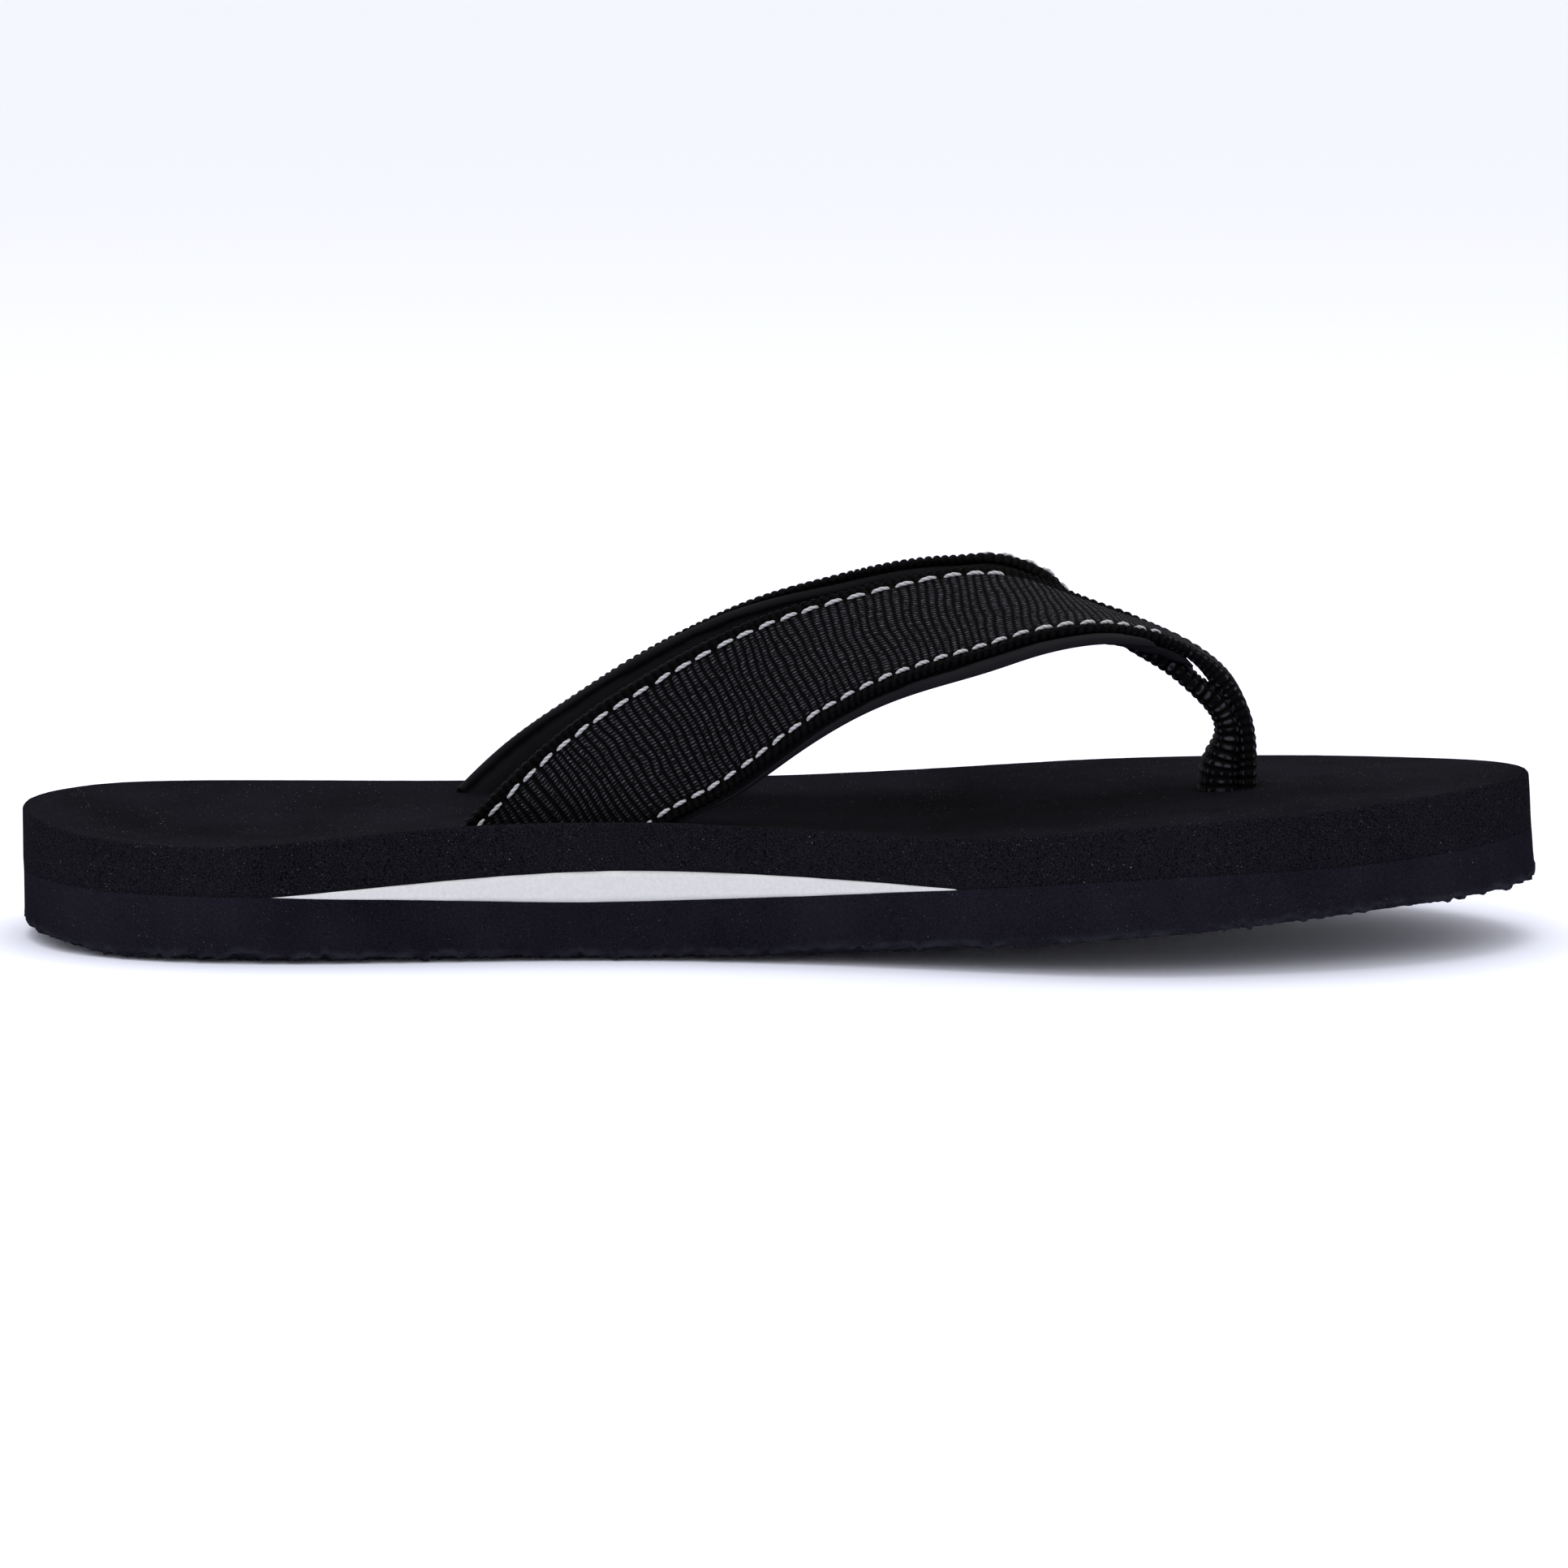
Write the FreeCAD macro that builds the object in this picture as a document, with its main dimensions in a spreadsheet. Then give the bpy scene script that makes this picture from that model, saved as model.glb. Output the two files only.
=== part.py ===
"""Thong sandal, left foot: foam sandwich sole with a webbing V strap and toe post.

Frame: +X from heel to toe, +Y from the medial (big toe) side to the lateral side, +Z up.
The origin is on the floor, under the middle of the sole's box. Lengths are millimetres.
"""
import FreeCAD, Part
import os

Vector = FreeCAD.Vector
doc = FreeCAD.newDocument("ThongSandal")

# ---------------------------------------------------------------- driving dimensions
DIMENSIONS = {
    "sole_length": 280.0,
    "forefoot_width": 98.0,
    "heel_width": 69.0,
    "outsole_thickness": 11.6,
    "toe_spring": 11.6,
    "blank_height": 60.0,          # stock that the layers are trimmed from
    "blank_width": 130.0,
    "trim_margin": 20.0,
    "tread_depth": 1.5,
    "tread_groove_width": 2.4,
    "tread_groove_length": 52.0,
    "wedge_reach": 30.0,           # from the medial edge towards the lateral side
    "webbing_width": 28.0,
    "webbing_thickness": 1.6,
    "lining_thickness": 2.6,
    "lining_width": 26.4,
    "glue_gap": 0.05,
    "slot_length": 42.0,
    "slot_width": 5.2,
    "medial_slot_x": -35.0,
    "medial_slot_y": -24.7,
    "lateral_slot_x": -37.5,
    "lateral_slot_y": 27.7,
    "post_x": 83.0,
    "post_y": -6.5,
    "post_hole_length": 12.4,
    "post_hole_width": 10.6,
    "tail_reach": 22.0,            # strap tail glued flat under the footbed
    "anchor_diameter": 26.0,
    "anchor_thickness": 2.4,
    "stitch_pitch": 3.6,
    "stitch_length": 2.9,
    "stitch_diameter": 0.8,
    "stitch_inset": 2.8,           # from the webbing's edge to the stitch row
}

sheet = doc.addObject("Spreadsheet::Sheet", "Dimensions")
for row, (name, value) in enumerate(DIMENSIONS.items(), start=1):
    sheet.set(f"A{row}", name)
    sheet.set(f"B{row}", str(value))
    sheet.setAlias(f"B{row}", name)
doc.recompute()


def size(name):
    """A driving dimension, read from the sheet."""
    return float(sheet.get(name))


BISECTIONS = 40
HALF_LENGTH = size("sole_length") / 2
HALF_FOREFOOT = size("forefoot_width") / 2
HALF_HEEL = size("heel_width") / 2


# ---------------------------------------------------------------- shared helpers
def bind(thing, **sizes):
    """Bind properties of a document object to cells or formulas of the sheet."""
    for prop, formula in sizes.items():
        thing.setExpression(prop, formula)


def smooth(points, closed=False):
    """B-spline through the points."""
    curve = Part.BSplineCurve()
    curve.interpolate(Points=points, PeriodicFlag=closed)
    return curve


def height_on(stations):
    """Function z(x) on the spline through a few (x, z) stations, found by bisection."""
    curve = smooth([Vector(x, 0, z) for x, z in stations])

    def height(x):
        low, high = curve.FirstParameter, curve.LastParameter
        for _ in range(BISECTIONS):
            middle = (low + high) / 2
            if curve.value(middle).x < x:
                low = middle
            else:
                high = middle
        return curve.value(low).z

    return height


def new_body(label):
    body = doc.addObject("PartDesign::Body", label)
    body.Label = label
    return body


def origin_plane(body, role):
    return next(f for f in body.Origin.OriginFeatures if f.Role == role)


def new_sketch(body, name, role):
    sketch = body.newObject("Sketcher::SketchObject", name)
    sketch.AttachmentSupport = (origin_plane(body, role), "")
    sketch.MapMode = "FlatFace"
    return sketch


def new_feature(label, shape):
    feature = doc.addObject("Part::Feature", label)
    feature.Label = label
    feature.Shape = shape
    feature.Placement = FreeCAD.Placement()
    return feature


def boolean(kind, label, base, tool):
    result = doc.addObject(kind, label)
    result.Label = label
    result.Base = base
    result.Tool = tool
    return result


def fuse(label, things):
    result = doc.addObject("Part::MultiFuse", label)
    result.Label = label
    result.Shapes = things
    return result


# ---------------------------------------------------------------- sole outline
# Fractions of half the length (x) and of half the forefoot width (y), heel to toe.
MEDIAL_EDGE = [(-0.93, -0.455), (-0.73, -0.70), (-0.40, -0.675), (-0.14, -0.66),
               (0.14, -0.80), (0.44, -0.995), (0.72, -0.87), (0.93, -0.50)]
LATERAL_EDGE = [(0.965, 0.30), (0.84, 0.65), (0.64, 0.86), (0.32, 1.0),
                (0.0, 0.93), (-0.36, 0.75), (-0.73, 0.70), (-0.93, 0.50)]


def outline_points():
    ends = [(-1.0, 0.0)]
    toe = [(1.0, -0.09)]
    plan = ends + MEDIAL_EDGE + toe + LATERAL_EDGE
    return [Vector(x * HALF_LENGTH, y * HALF_FOREFOOT, 0) for x, y in plan]


def trim_ring(body, name):
    """Sketch of everything outside the sole's outline: a rectangle with the outline as a hole."""
    sketch = new_sketch(body, name, "XY_Plane")
    sketch.addGeometry(smooth(outline_points(), closed=True))
    reach_x = HALF_LENGTH + size("trim_margin")
    reach_y = HALF_FOREFOOT + size("trim_margin")
    corners = [Vector(-reach_x, -reach_y, 0), Vector(reach_x, -reach_y, 0),
               Vector(reach_x, reach_y, 0), Vector(-reach_x, reach_y, 0)]
    for start, end in zip(corners, corners[1:] + corners[:1]):
        sketch.addGeometry(Part.LineSegment(start, end))
    return sketch


def trim_to_outline(body):
    """Cut the body's slab down to the sole's outline."""
    pocket = body.newObject("PartDesign::Pocket", body.Label + "_trim")
    pocket.Profile = trim_ring(body, body.Label + "_outline")
    pocket.Midplane = True
    bind(pocket, Length="2 * Dimensions.blank_height + 2 * Dimensions.trim_margin")
    return pocket


# ---------------------------------------------------------------- side profiles
X_HEEL = -HALF_LENGTH - 6
X_TOE = HALF_LENGTH + 6
SPRING = size("toe_spring")
SHEET = size("outsole_thickness")

# underside: a rounded heel, a flat run to the arch, then a nearly straight rise to the toe
HEEL_ROUND = [(X_HEEL, 3.6), (-136, 1.4), (-128, 0.4), (-116, 0.0)]
SPRING_START = -18.0
BOTTOM = [(SPRING_START, 0.0), (6, 0.10 * SPRING), (28, 0.27 * SPRING), (64, 0.57 * SPRING),
          (93, 0.80 * SPRING), (120, 0.95 * SPRING), (X_TOE, 1.0 * SPRING)]
# joint between outsole and footbed
JOINT = [(X_HEEL, SHEET + 1.0), (-118, SHEET + 0.2), (-95, SHEET + 0.2), (-62, SHEET),
         (-30, SHEET - 0.1), (0, SHEET + 0.9), (28, SHEET + 2.9), (60, SHEET + 5.6),
         (98, SHEET + 7.9), (X_TOE, SHEET + 10.6)]
# medial edge of the arch wedge: it opens the joint like a lens
WEDGE_TIPS = (-95.0, 33.0)
WEDGE_TOP = [(-72, SHEET + 2.8), (-52, SHEET + 4.1), (-30, SHEET + 5.0), (0, SHEET + 4.6),
             (20, SHEET + 3.9)]
WEDGE_BOTTOM = [(-84, SHEET - 0.2), (-66, SHEET - 0.4), (-40, SHEET - 1.1), (-10, SHEET - 0.1),
                (14, SHEET + 1.6), (26, SHEET + 2.6)]

bottom_height = height_on(BOTTOM)
joint_height = height_on(JOINT)


def flat_points(points):
    """(x, z) of a side profile as sketch coordinates on the XZ plane."""
    return [Vector(x, z, 0) for x, z in points]


def closed_profile(sketch, lower, upper):
    """Closed sketch profile between two chains of curves, joined by straight ends."""
    for curve in lower + upper:
        sketch.addGeometry(curve)
    ends = [(lower[0].StartPoint, upper[0].StartPoint), (lower[-1].EndPoint, upper[-1].EndPoint)]
    for low, high in ends:
        sketch.addGeometry(Part.LineSegment(low, high))


def slab(body, name, lower, upper):
    """Pad a side profile across the whole width."""
    sketch = new_sketch(body, name, "XZ_Plane")
    closed_profile(sketch, lower, upper)
    pad = body.newObject("PartDesign::Pad", name + "_pad")
    pad.Profile = sketch
    pad.Midplane = True
    bind(pad, Length="Dimensions.blank_width")
    return pad


# ---------------------------------------------------------------- arch wedge
def lens_wire(y, scale):
    """Lens between the wedge's top and bottom curves at depth y, shrunk about the joint."""
    x_mid = sum(WEDGE_TIPS) / 2
    tips = [Vector(x_mid + (x - x_mid) * scale, y, joint_height(x_mid + (x - x_mid) * scale))
            for x in WEDGE_TIPS]

    def chain(stations):
        inner = []
        for x, z in stations:
            xs = x_mid + (x - x_mid) * scale
            inner.append(Vector(xs, y, joint_height(xs) + (z - joint_height(x)) * scale))
        return smooth([tips[0]] + inner + [tips[1]]).toShape()

    return Part.Wire([chain(WEDGE_TOP), chain(WEDGE_BOTTOM)])


def wedge_blank():
    """Lens at the medial edge, thinning to a feather inside the sole."""
    outer = lens_wire(-HALF_FOREFOOT - 4, 1.0)
    rim = lens_wire(-HALF_HEEL + 2, 1.0)
    inner = lens_wire(-HALF_HEEL + 2 + size("wedge_reach"), 0.12)
    first = Part.makeLoft([outer, rim], True, True)
    second = Part.makeLoft([rim, inner], True, True)
    return first.fuse(second).removeSplitter()


wedge_tool = new_feature("wedge_tool", wedge_blank())

# ---------------------------------------------------------------- outsole
outsole_body = new_body("outsole_slab")
flat_run = Part.LineSegment(Vector(HEEL_ROUND[-1][0], 0, 0), Vector(SPRING_START, 0, 0))
slab(outsole_body, "outsole_side",
     [smooth(flat_points(HEEL_ROUND)), flat_run, smooth(flat_points(BOTTOM))],
     [smooth(flat_points(JOINT))])
doc.recompute()
trim_to_outline(outsole_body)
doc.recompute()

TREAD_PITCH = 8.0
TREAD_FIRST = -122.0
TREAD_LAST = 120.0


def tread_sketch(body):
    """Rectangles across the underside, one for each tread groove, seen from the side."""
    sketch = new_sketch(body, "tread_grooves", "XZ_Plane")
    half = size("tread_groove_width") / 2
    x = TREAD_FIRST
    while x <= TREAD_LAST:
        base = bottom_height(x) if x > SPRING_START else 0.0
        low, high = base - 2.0, base + size("tread_depth")
        corners = [Vector(x - half, low, 0), Vector(x + half, low, 0),
                   Vector(x + half, high, 0), Vector(x - half, high, 0)]
        for start, end in zip(corners, corners[1:] + corners[:1]):
            sketch.addGeometry(Part.LineSegment(start, end))
        x += TREAD_PITCH
    return sketch


before_tread = outsole_body.Shape.Volume
tread = outsole_body.newObject("PartDesign::Pocket", "tread")
tread.Profile = tread_sketch(outsole_body)
tread.Midplane = True
bind(tread, Length="Dimensions.tread_groove_length")
doc.recompute()
assert outsole_body.Shape.Volume < before_tread, "the tread grooves cut nothing"

outsole = boolean("Part::Cut", "outsole", outsole_body, wedge_tool)

# ---------------------------------------------------------------- footbed
# Cross sections of the foot surface: centre height, slope to the lateral side, dish depth.
FOOT_STATIONS = [
    # x, centre, slope, dish
    (-146, 24.0, 0.000, 0.0),
    (-120, 20.8, 0.025, 1.9),
    (-95, 20.0, 0.017, 2.2),
    (-62, 21.1, -0.018, 2.2),
    (-35, 21.9, -0.038, 2.3),
    (0, 21.7, -0.036, 2.2),
    (32, 22.5, -0.006, 1.5),
    (62, 26.0, -0.010, 0.4),
    (85, 28.4, -0.015, -0.8),
    (112, 29.4, -0.026, -0.4),
    (130, 30.3, -0.032, 0.0),
    (146, 31.4, -0.020, 0.0),
]
FOOT_ROWS = 7


def foot_space():
    """Solid above the foot surface: a spline surface through the cross sections, raised."""
    grid = []
    for x, centre, slope, dish in FOOT_STATIONS:
        blend = min(max((x + 20) / 70, 0), 1)
        half_width = HALF_HEEL + (HALF_FOREFOOT - HALF_HEEL) * blend
        line = []
        for step in range(FOOT_ROWS):
            y = (2 * step / (FOOT_ROWS - 1) - 1) * size("blank_width") / 2
            reach = min(abs(y) / half_width, 1.15)
            line.append(Vector(x, y, centre + slope * y + dish * reach ** 2))
        grid.append(line)
    surface = Part.BSplineSurface()
    surface.interpolate(grid)
    return surface.toShape().extrude(Vector(0, 0, size("blank_height")))


footbed_body = new_body("footbed_slab")
top_line = Part.LineSegment(Vector(X_HEEL, size("blank_height"), 0),
                            Vector(X_TOE, size("blank_height"), 0))
slab(footbed_body, "footbed_side", [smooth(flat_points(JOINT))], [top_line])
doc.recompute()
trim_to_outline(footbed_body)
doc.recompute()


TAIL_POCKET_BOTTOM = SHEET - 2.0
TAIL_POCKET_TOP = SHEET + 2.4


def slot_tool(label, x_cell, y_cell):
    """Straight slot through the footbed for one end of the strap."""
    slot = doc.addObject("Part::Box", label)
    slot.Label = label
    bind(slot, Length="Dimensions.slot_length", Width="Dimensions.slot_width",
         Height="Dimensions.blank_height",
         **{"Placement.Base.x": f"Dimensions.{x_cell} - Dimensions.slot_length / 2",
            "Placement.Base.y": f"Dimensions.{y_cell} - Dimensions.slot_width / 2"})
    return slot


def tail_tool(label, x_cell, y_cell, side):
    """Pocket under the footbed where the strap's tail is glued; side is +1 towards +Y."""
    pocket = doc.addObject("Part::Box", label)
    pocket.Label = label
    near = "" if side > 0 else " - Dimensions.tail_reach - 1"
    bind(pocket, Length="Dimensions.slot_length", Width="Dimensions.tail_reach + 1",
         **{"Placement.Base.x": f"Dimensions.{x_cell} - Dimensions.slot_length / 2",
            "Placement.Base.y": f"Dimensions.{y_cell}" + near})
    pocket.Height = TAIL_POCKET_TOP - TAIL_POCKET_BOTTOM
    pocket.Placement.Base.z = TAIL_POCKET_BOTTOM
    return pocket


post_hole = doc.addObject("Part::Box", "post_hole")
bind(post_hole, Length="Dimensions.post_hole_length", Width="Dimensions.post_hole_width",
     Height="Dimensions.blank_height",
     **{"Placement.Base.x": "Dimensions.post_x - Dimensions.post_hole_length / 2",
        "Placement.Base.y": "Dimensions.post_y - Dimensions.post_hole_width / 2"})

ANCHOR_BOTTOM = joint_height(size("post_x") + size("anchor_diameter") / 2) + 0.1
anchor_seat = doc.addObject("Part::Cylinder", "anchor_seat")
bind(anchor_seat, Radius="Dimensions.anchor_diameter / 2 + 0.1",
     **{"Placement.Base.x": "Dimensions.post_x", "Placement.Base.y": "Dimensions.post_y"})
anchor_seat.Height = ANCHOR_BOTTOM + size("anchor_thickness") + 0.1

footbed_tools = fuse("footbed_tools", [
    new_feature("foot_space", foot_space()),
    slot_tool("medial_slot", "medial_slot_x", "medial_slot_y"),
    slot_tool("lateral_slot", "lateral_slot_x", "lateral_slot_y"),
    tail_tool("medial_tail_pocket", "medial_slot_x", "medial_slot_y", 1),
    tail_tool("lateral_tail_pocket", "lateral_slot_x", "lateral_slot_y", -1),
    post_hole,
    anchor_seat,
])
footbed_open = boolean("Part::Cut", "footbed_open", footbed_body, footbed_tools)
footbed = boolean("Part::Cut", "footbed", footbed_open, wedge_tool)

# the wedge is trimmed to the same outline, and opened where the medial slot reaches it
wedge_prism_body = new_body("wedge_prism")
low_line = Part.LineSegment(Vector(X_HEEL, 0, 0), Vector(X_TOE, 0, 0))
slab(wedge_prism_body, "wedge_side", [low_line], [top_line])
doc.recompute()
trim_to_outline(wedge_prism_body)
wedge_trimmed = boolean("Part::Common", "wedge_trimmed", wedge_tool, wedge_prism_body)
wedge_slots = fuse("wedge_slots", [
    slot_tool("wedge_slot", "medial_slot_x", "medial_slot_y"),
    tail_tool("wedge_tail_pocket", "medial_slot_x", "medial_slot_y", 1),
])
arch_wedge = boolean("Part::Cut", "arch_wedge", wedge_trimmed, wedge_slots)

# ---------------------------------------------------------------- toe anchor
anchor = new_body("toe_anchor")
disc_sketch = new_sketch(anchor, "anchor_disc", "XY_Plane")
disc_sketch.addGeometry(Part.Circle(Vector(0, 0, 0), Vector(0, 0, 1), size("anchor_diameter") / 2))
disc = anchor.newObject("PartDesign::Pad", "anchor_pad")
disc.Profile = disc_sketch
bind(disc, Length="Dimensions.anchor_thickness")
doc.recompute()
mouth_sketch = new_sketch(anchor, "anchor_mouth", "XY_Plane")
mouth_x, mouth_y = size("post_hole_length") / 2, size("post_hole_width") / 2
mouth = [Vector(-mouth_x, -mouth_y, 0), Vector(mouth_x, -mouth_y, 0),
         Vector(mouth_x, mouth_y, 0), Vector(-mouth_x, mouth_y, 0)]
for start, end in zip(mouth, mouth[1:] + mouth[:1]):
    mouth_sketch.addGeometry(Part.LineSegment(start, end))
disc_volume = anchor.Shape.Volume
mouth_cut = anchor.newObject("PartDesign::Pocket", "anchor_opening")
mouth_cut.Profile = mouth_sketch
mouth_cut.Midplane = True
bind(mouth_cut, Length="4 * Dimensions.anchor_thickness")
doc.recompute()
assert anchor.Shape.Volume < disc_volume, "the anchor's opening cut nothing"
bind(anchor, **{"Placement.Base.x": "Dimensions.post_x", "Placement.Base.y": "Dimensions.post_y"})
anchor.Placement.Base.z = ANCHOR_BOTTOM

# ---------------------------------------------------------------- straps
WEBBING = size("webbing_thickness")
LINING = size("lining_thickness")
GAP = size("glue_gap")
STRAP_MOUTH = 23.5            # height at which the straps leave their slots
TAIL_LEVEL = SHEET + 0.3     # underside of the glued tails
LINING_END = 17.0             # the lining stops inside the slot

# Sections from the slot over the instep to the toe post. Each has the webbing's outer
# (lower) edge, its inner (upper) edge and its thickness. The medial strap ends in front.
MEDIAL_SECTIONS = [
    ((-15, -26, STRAP_MOUTH), (-55, -26, STRAP_MOUTH), 1.6),
    ((-13, -26.6, 27.4), (-38, -21, 41.4), 1.6),
    ((-9, -26.9, 30.4), (-23.4, -17, 50.6), 1.6),
    ((2.2, -28.5, 38.0), (-8.7, -14, 58.2), 1.6),
    ((14.6, -31, 46.2), (6, -11.5, 63.2), 1.6),
    ((26.3, -32, 51.8), (21, -9.5, 66.7), 1.6),
    ((38, -31.6, 55.8), (35, -7.3, 68.6), 1.6),
    ((47, -30.6, 58.3), (47, -5.9, 67.0), 1.6),
    ((56.5, -27.0, 59.6), (56.5, -5.2, 62.2), 1.6),
    ((64.5, -20.5, 58.6), (64.5, -3.6, 58.9), 1.8),
    ((71.5, -14.2, 55.7), (71.5, -2.2, 55.7), 2.2),
    ((78.6, -11.4, 51.0), (78.6, -1.6, 51.0), 2.7),
    ((83.6, -11.1, 44.5), (83.6, -1.9, 44.5), 2.7),
    ((86.0, -11.1, 38.0), (86.0, -1.9, 38.0), 2.6),
    ((86.8, -11.3, 31.0), (86.8, -1.7, 31.0), 3.2),
    ((87.1, -11.5, 26.0), (87.1, -1.5, 26.0), 3.4),
]
LATERAL_SECTIONS = [
    ((-17, 29, STRAP_MOUTH), (-58, 29, STRAP_MOUTH), 1.6),
    ((-14, 29.2, 27.6), (-38.5, 25.0, 40.3), 1.6),
    ((-9.5, 29.2, 30.8), (-24.5, 21.5, 49.5), 1.6),
    ((2, 28.6, 38.3), (-8.5, 17.0, 58.2), 1.6),
    ((14.5, 27.2, 46.0), (6, 10.5, 63.6), 1.6),
    ((26.5, 25, 51.6), (21, 4.8, 67.9), 1.6),
    ((38.5, 22, 55.7), (35, -1.2, 69.6), 1.6),
    ((46.5, 19.3, 57.6), (46.5, -5.0, 67.4), 1.6),
    ((56.5, 15.0, 56.6), (56.5, -6.4, 58.6), 1.6),
    ((64, 9.0, 53.9), (64, -8.4, 54.2), 1.8),
    ((70.5, 2.0, 50.9), (70.5, -10.4, 51.0), 2.2),
    ((76.6, -1.4, 46.8), (76.6, -11.4, 46.8), 2.9),
    ((81.4, -1.8, 42.4), (81.4, -11.2, 42.4), 3.3),
    ((82.8, -1.9, 38.4), (82.8, -11.1, 38.4), 3.8),
    ((82.0, -1.8, 33.5), (82.0, -11.2, 33.5), 5.6),
    ((81.2, -1.6, 26.0), (81.2, -11.4, 26.0), 7.9),
]
LINING_SECTIONS = 10          # the lining stops where the two straps close up


class Strap:
    """One half of the V strap: side is +1 for the medial half and -1 for the lateral half."""

    def __init__(self, name, sections, side):
        self.name = name
        self.side = side
        self.outer = [Vector(*outer) for outer, inner, thickness in sections]
        self.inner = [Vector(*inner) for outer, inner, thickness in sections]
        self.thickness = [thickness for outer, inner, thickness in sections]
        self.middle = [(a + b) * 0.5 for a, b in zip(self.outer, self.inner)]
        self.y = self.middle[0].y

    def across(self, i):
        return (self.inner[i] - self.outer[i]).normalize()

    def forward(self, i):
        if i == 0:
            return Vector(0, 0, 1)
        ahead = min(i + 1, len(self.middle) - 1)
        way = self.middle[ahead] - self.middle[i - 1]
        if ahead == i:
            way = Vector(0, 0, -1)
        across = self.across(i)
        return (way - across * way.dot(across)).normalize()

    def outward(self, i):
        """Normal of the webbing's outer face."""
        return self.forward(i).cross(self.across(i)).normalize() * self.side

    def rectangle(self, i, width_loss, top, bottom):
        """Section from top to bottom along the outward normal, narrowed at both edges."""
        across, outward = self.across(i), self.outward(i)
        low, high = self.outer[i] + across * width_loss, self.inner[i] - across * width_loss
        corners = [low + outward * top, high + outward * top,
                   high + outward * bottom, low + outward * bottom]
        return Part.makePolygon(corners + corners[:1])

    def upright(self, top_y, bottom_y, z_low, z_high):
        """Straight leg of the strap inside its slot."""
        x_low, x_high = self.inner[0].x, self.outer[0].x
        y_low, y_high = sorted((top_y, bottom_y))
        return Part.makeBox(x_high - x_low, y_high - y_low, z_high - z_low,
                            Vector(x_low, y_low, z_low))

    def webbing(self):
        count = len(self.outer)
        wires = [self.rectangle(i, 0, self.thickness[i] / 2, -self.thickness[i] / 2)
                 for i in range(count)]
        band = Part.makeLoft(wires, True, False)
        leg = self.upright(self.y - WEBBING / 2, self.y + WEBBING / 2, TAIL_LEVEL, STRAP_MOUTH)
        tail_end = self.y + self.side * size("tail_reach")
        tail = self.upright(self.y, tail_end, TAIL_LEVEL, TAIL_LEVEL + WEBBING)
        foot = self.post_foot()
        return band.fuse([leg, tail, foot]).removeSplitter()

    def post_foot(self):
        """Bottom of the post, straight down through the footbed to the anchor's underside."""
        half = self.thickness[-1] / 2
        y_low, y_high = sorted((self.outer[-1].y, self.inner[-1].y))
        x, z = self.middle[-1].x, self.middle[-1].z
        return Part.makeBox(2 * half, y_high - y_low, z - ANCHOR_BOTTOM,
                            Vector(x - half, y_low, ANCHOR_BOTTOM))

    def lining(self):
        """Padded lining under the webbing, trimmed to the webbing's inner face."""
        loss = (size("webbing_width") - size("lining_width")) / 2
        top = -WEBBING / 2 - GAP
        wires = [self.rectangle(i, loss if i else 0, top, top - LINING)
                 for i in range(LINING_SECTIONS)]
        band = Part.makeLoft(wires, True, True)
        near = self.y + self.side * (WEBBING / 2 + GAP)
        leg = self.upright(near, near + self.side * LINING, LINING_END, STRAP_MOUTH)
        return band.fuse(leg).removeSplitter()

    def stitch_row(self, from_inner, first, last):
        """Separate thread stitches along one edge, a pitch apart, on the outer face."""
        inset, lift = size("stitch_inset"), size("stitch_diameter") / 2 + GAP
        points = []
        for i in range(first, last + 1):
            edge, step = (self.inner[i], -1) if from_inner else (self.outer[i], 1)
            points.append(edge + self.across(i) * inset * step
                          + self.outward(i) * (self.thickness[i] / 2 + lift))
        path = smooth(points).toShape()
        marks = path.discretize(Distance=size("stitch_pitch"))
        length, radius = size("stitch_length"), size("stitch_diameter") / 2
        stitches = []
        for start, end in zip(marks[:-1], marks[1:]):
            way = (end - start).normalize()
            thread = Part.makeCylinder(radius, length, start, way)
            rims = [edge for edge in thread.Edges if edge.Closed]
            stitches.append(thread.makeChamfer(radius * 0.4, rims))
        return Part.makeCompound(stitches)


STRAPS = [Strap("medial", MEDIAL_SECTIONS, 1), Strap("lateral", LATERAL_SECTIONS, -1)]
STITCH_START = 1
UPPER_ROW_END = 7             # the upper rows meet at the crotch
LOWER_ROW_END = 10            # the lower rows run on to the lining's end



def trimmed(label, shape, tools):
    """The shape with the tools cut away, without the crumbs that a cut leaves."""
    solids = shape.cut(tools).Solids
    return new_feature(label, max(solids, key=lambda solid: solid.Volume))


strap_nodes = []
webbings = []
linings = []
for strap in STRAPS:
    webbings.append(trimmed(f"{strap.name}_strap_webbing", strap.webbing(),
                            [ribbon.Shape for ribbon in webbings]))
for strap in STRAPS:
    linings.append(trimmed(f"{strap.name}_strap_lining", strap.lining(),
                           [piece.Shape for piece in webbings + linings]))
for strap, ribbon, pad in zip(STRAPS, webbings, linings):
    strap_nodes += [
        ribbon,
        pad,
        new_feature(f"{strap.name}_upper_stitching",
                    strap.stitch_row(True, STITCH_START, UPPER_ROW_END)),
        new_feature(f"{strap.name}_lower_stitching",
                    strap.stitch_row(False, STITCH_START, LOWER_ROW_END)),
    ]

# ---------------------------------------------------------------- checks and export
doc.recompute()
NODES = [outsole, arch_wedge, footbed, anchor] + strap_nodes

for thing in doc.Objects:
    failed = [state for state in thing.State if state in ("Invalid", "Error")]
    assert not failed, f"{thing.Label} failed: {thing.State}"
for node in NODES:
    assert not node.Shape.isNull() and node.Shape.isValid(), f"{node.Label} has a bad shape"

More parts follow.
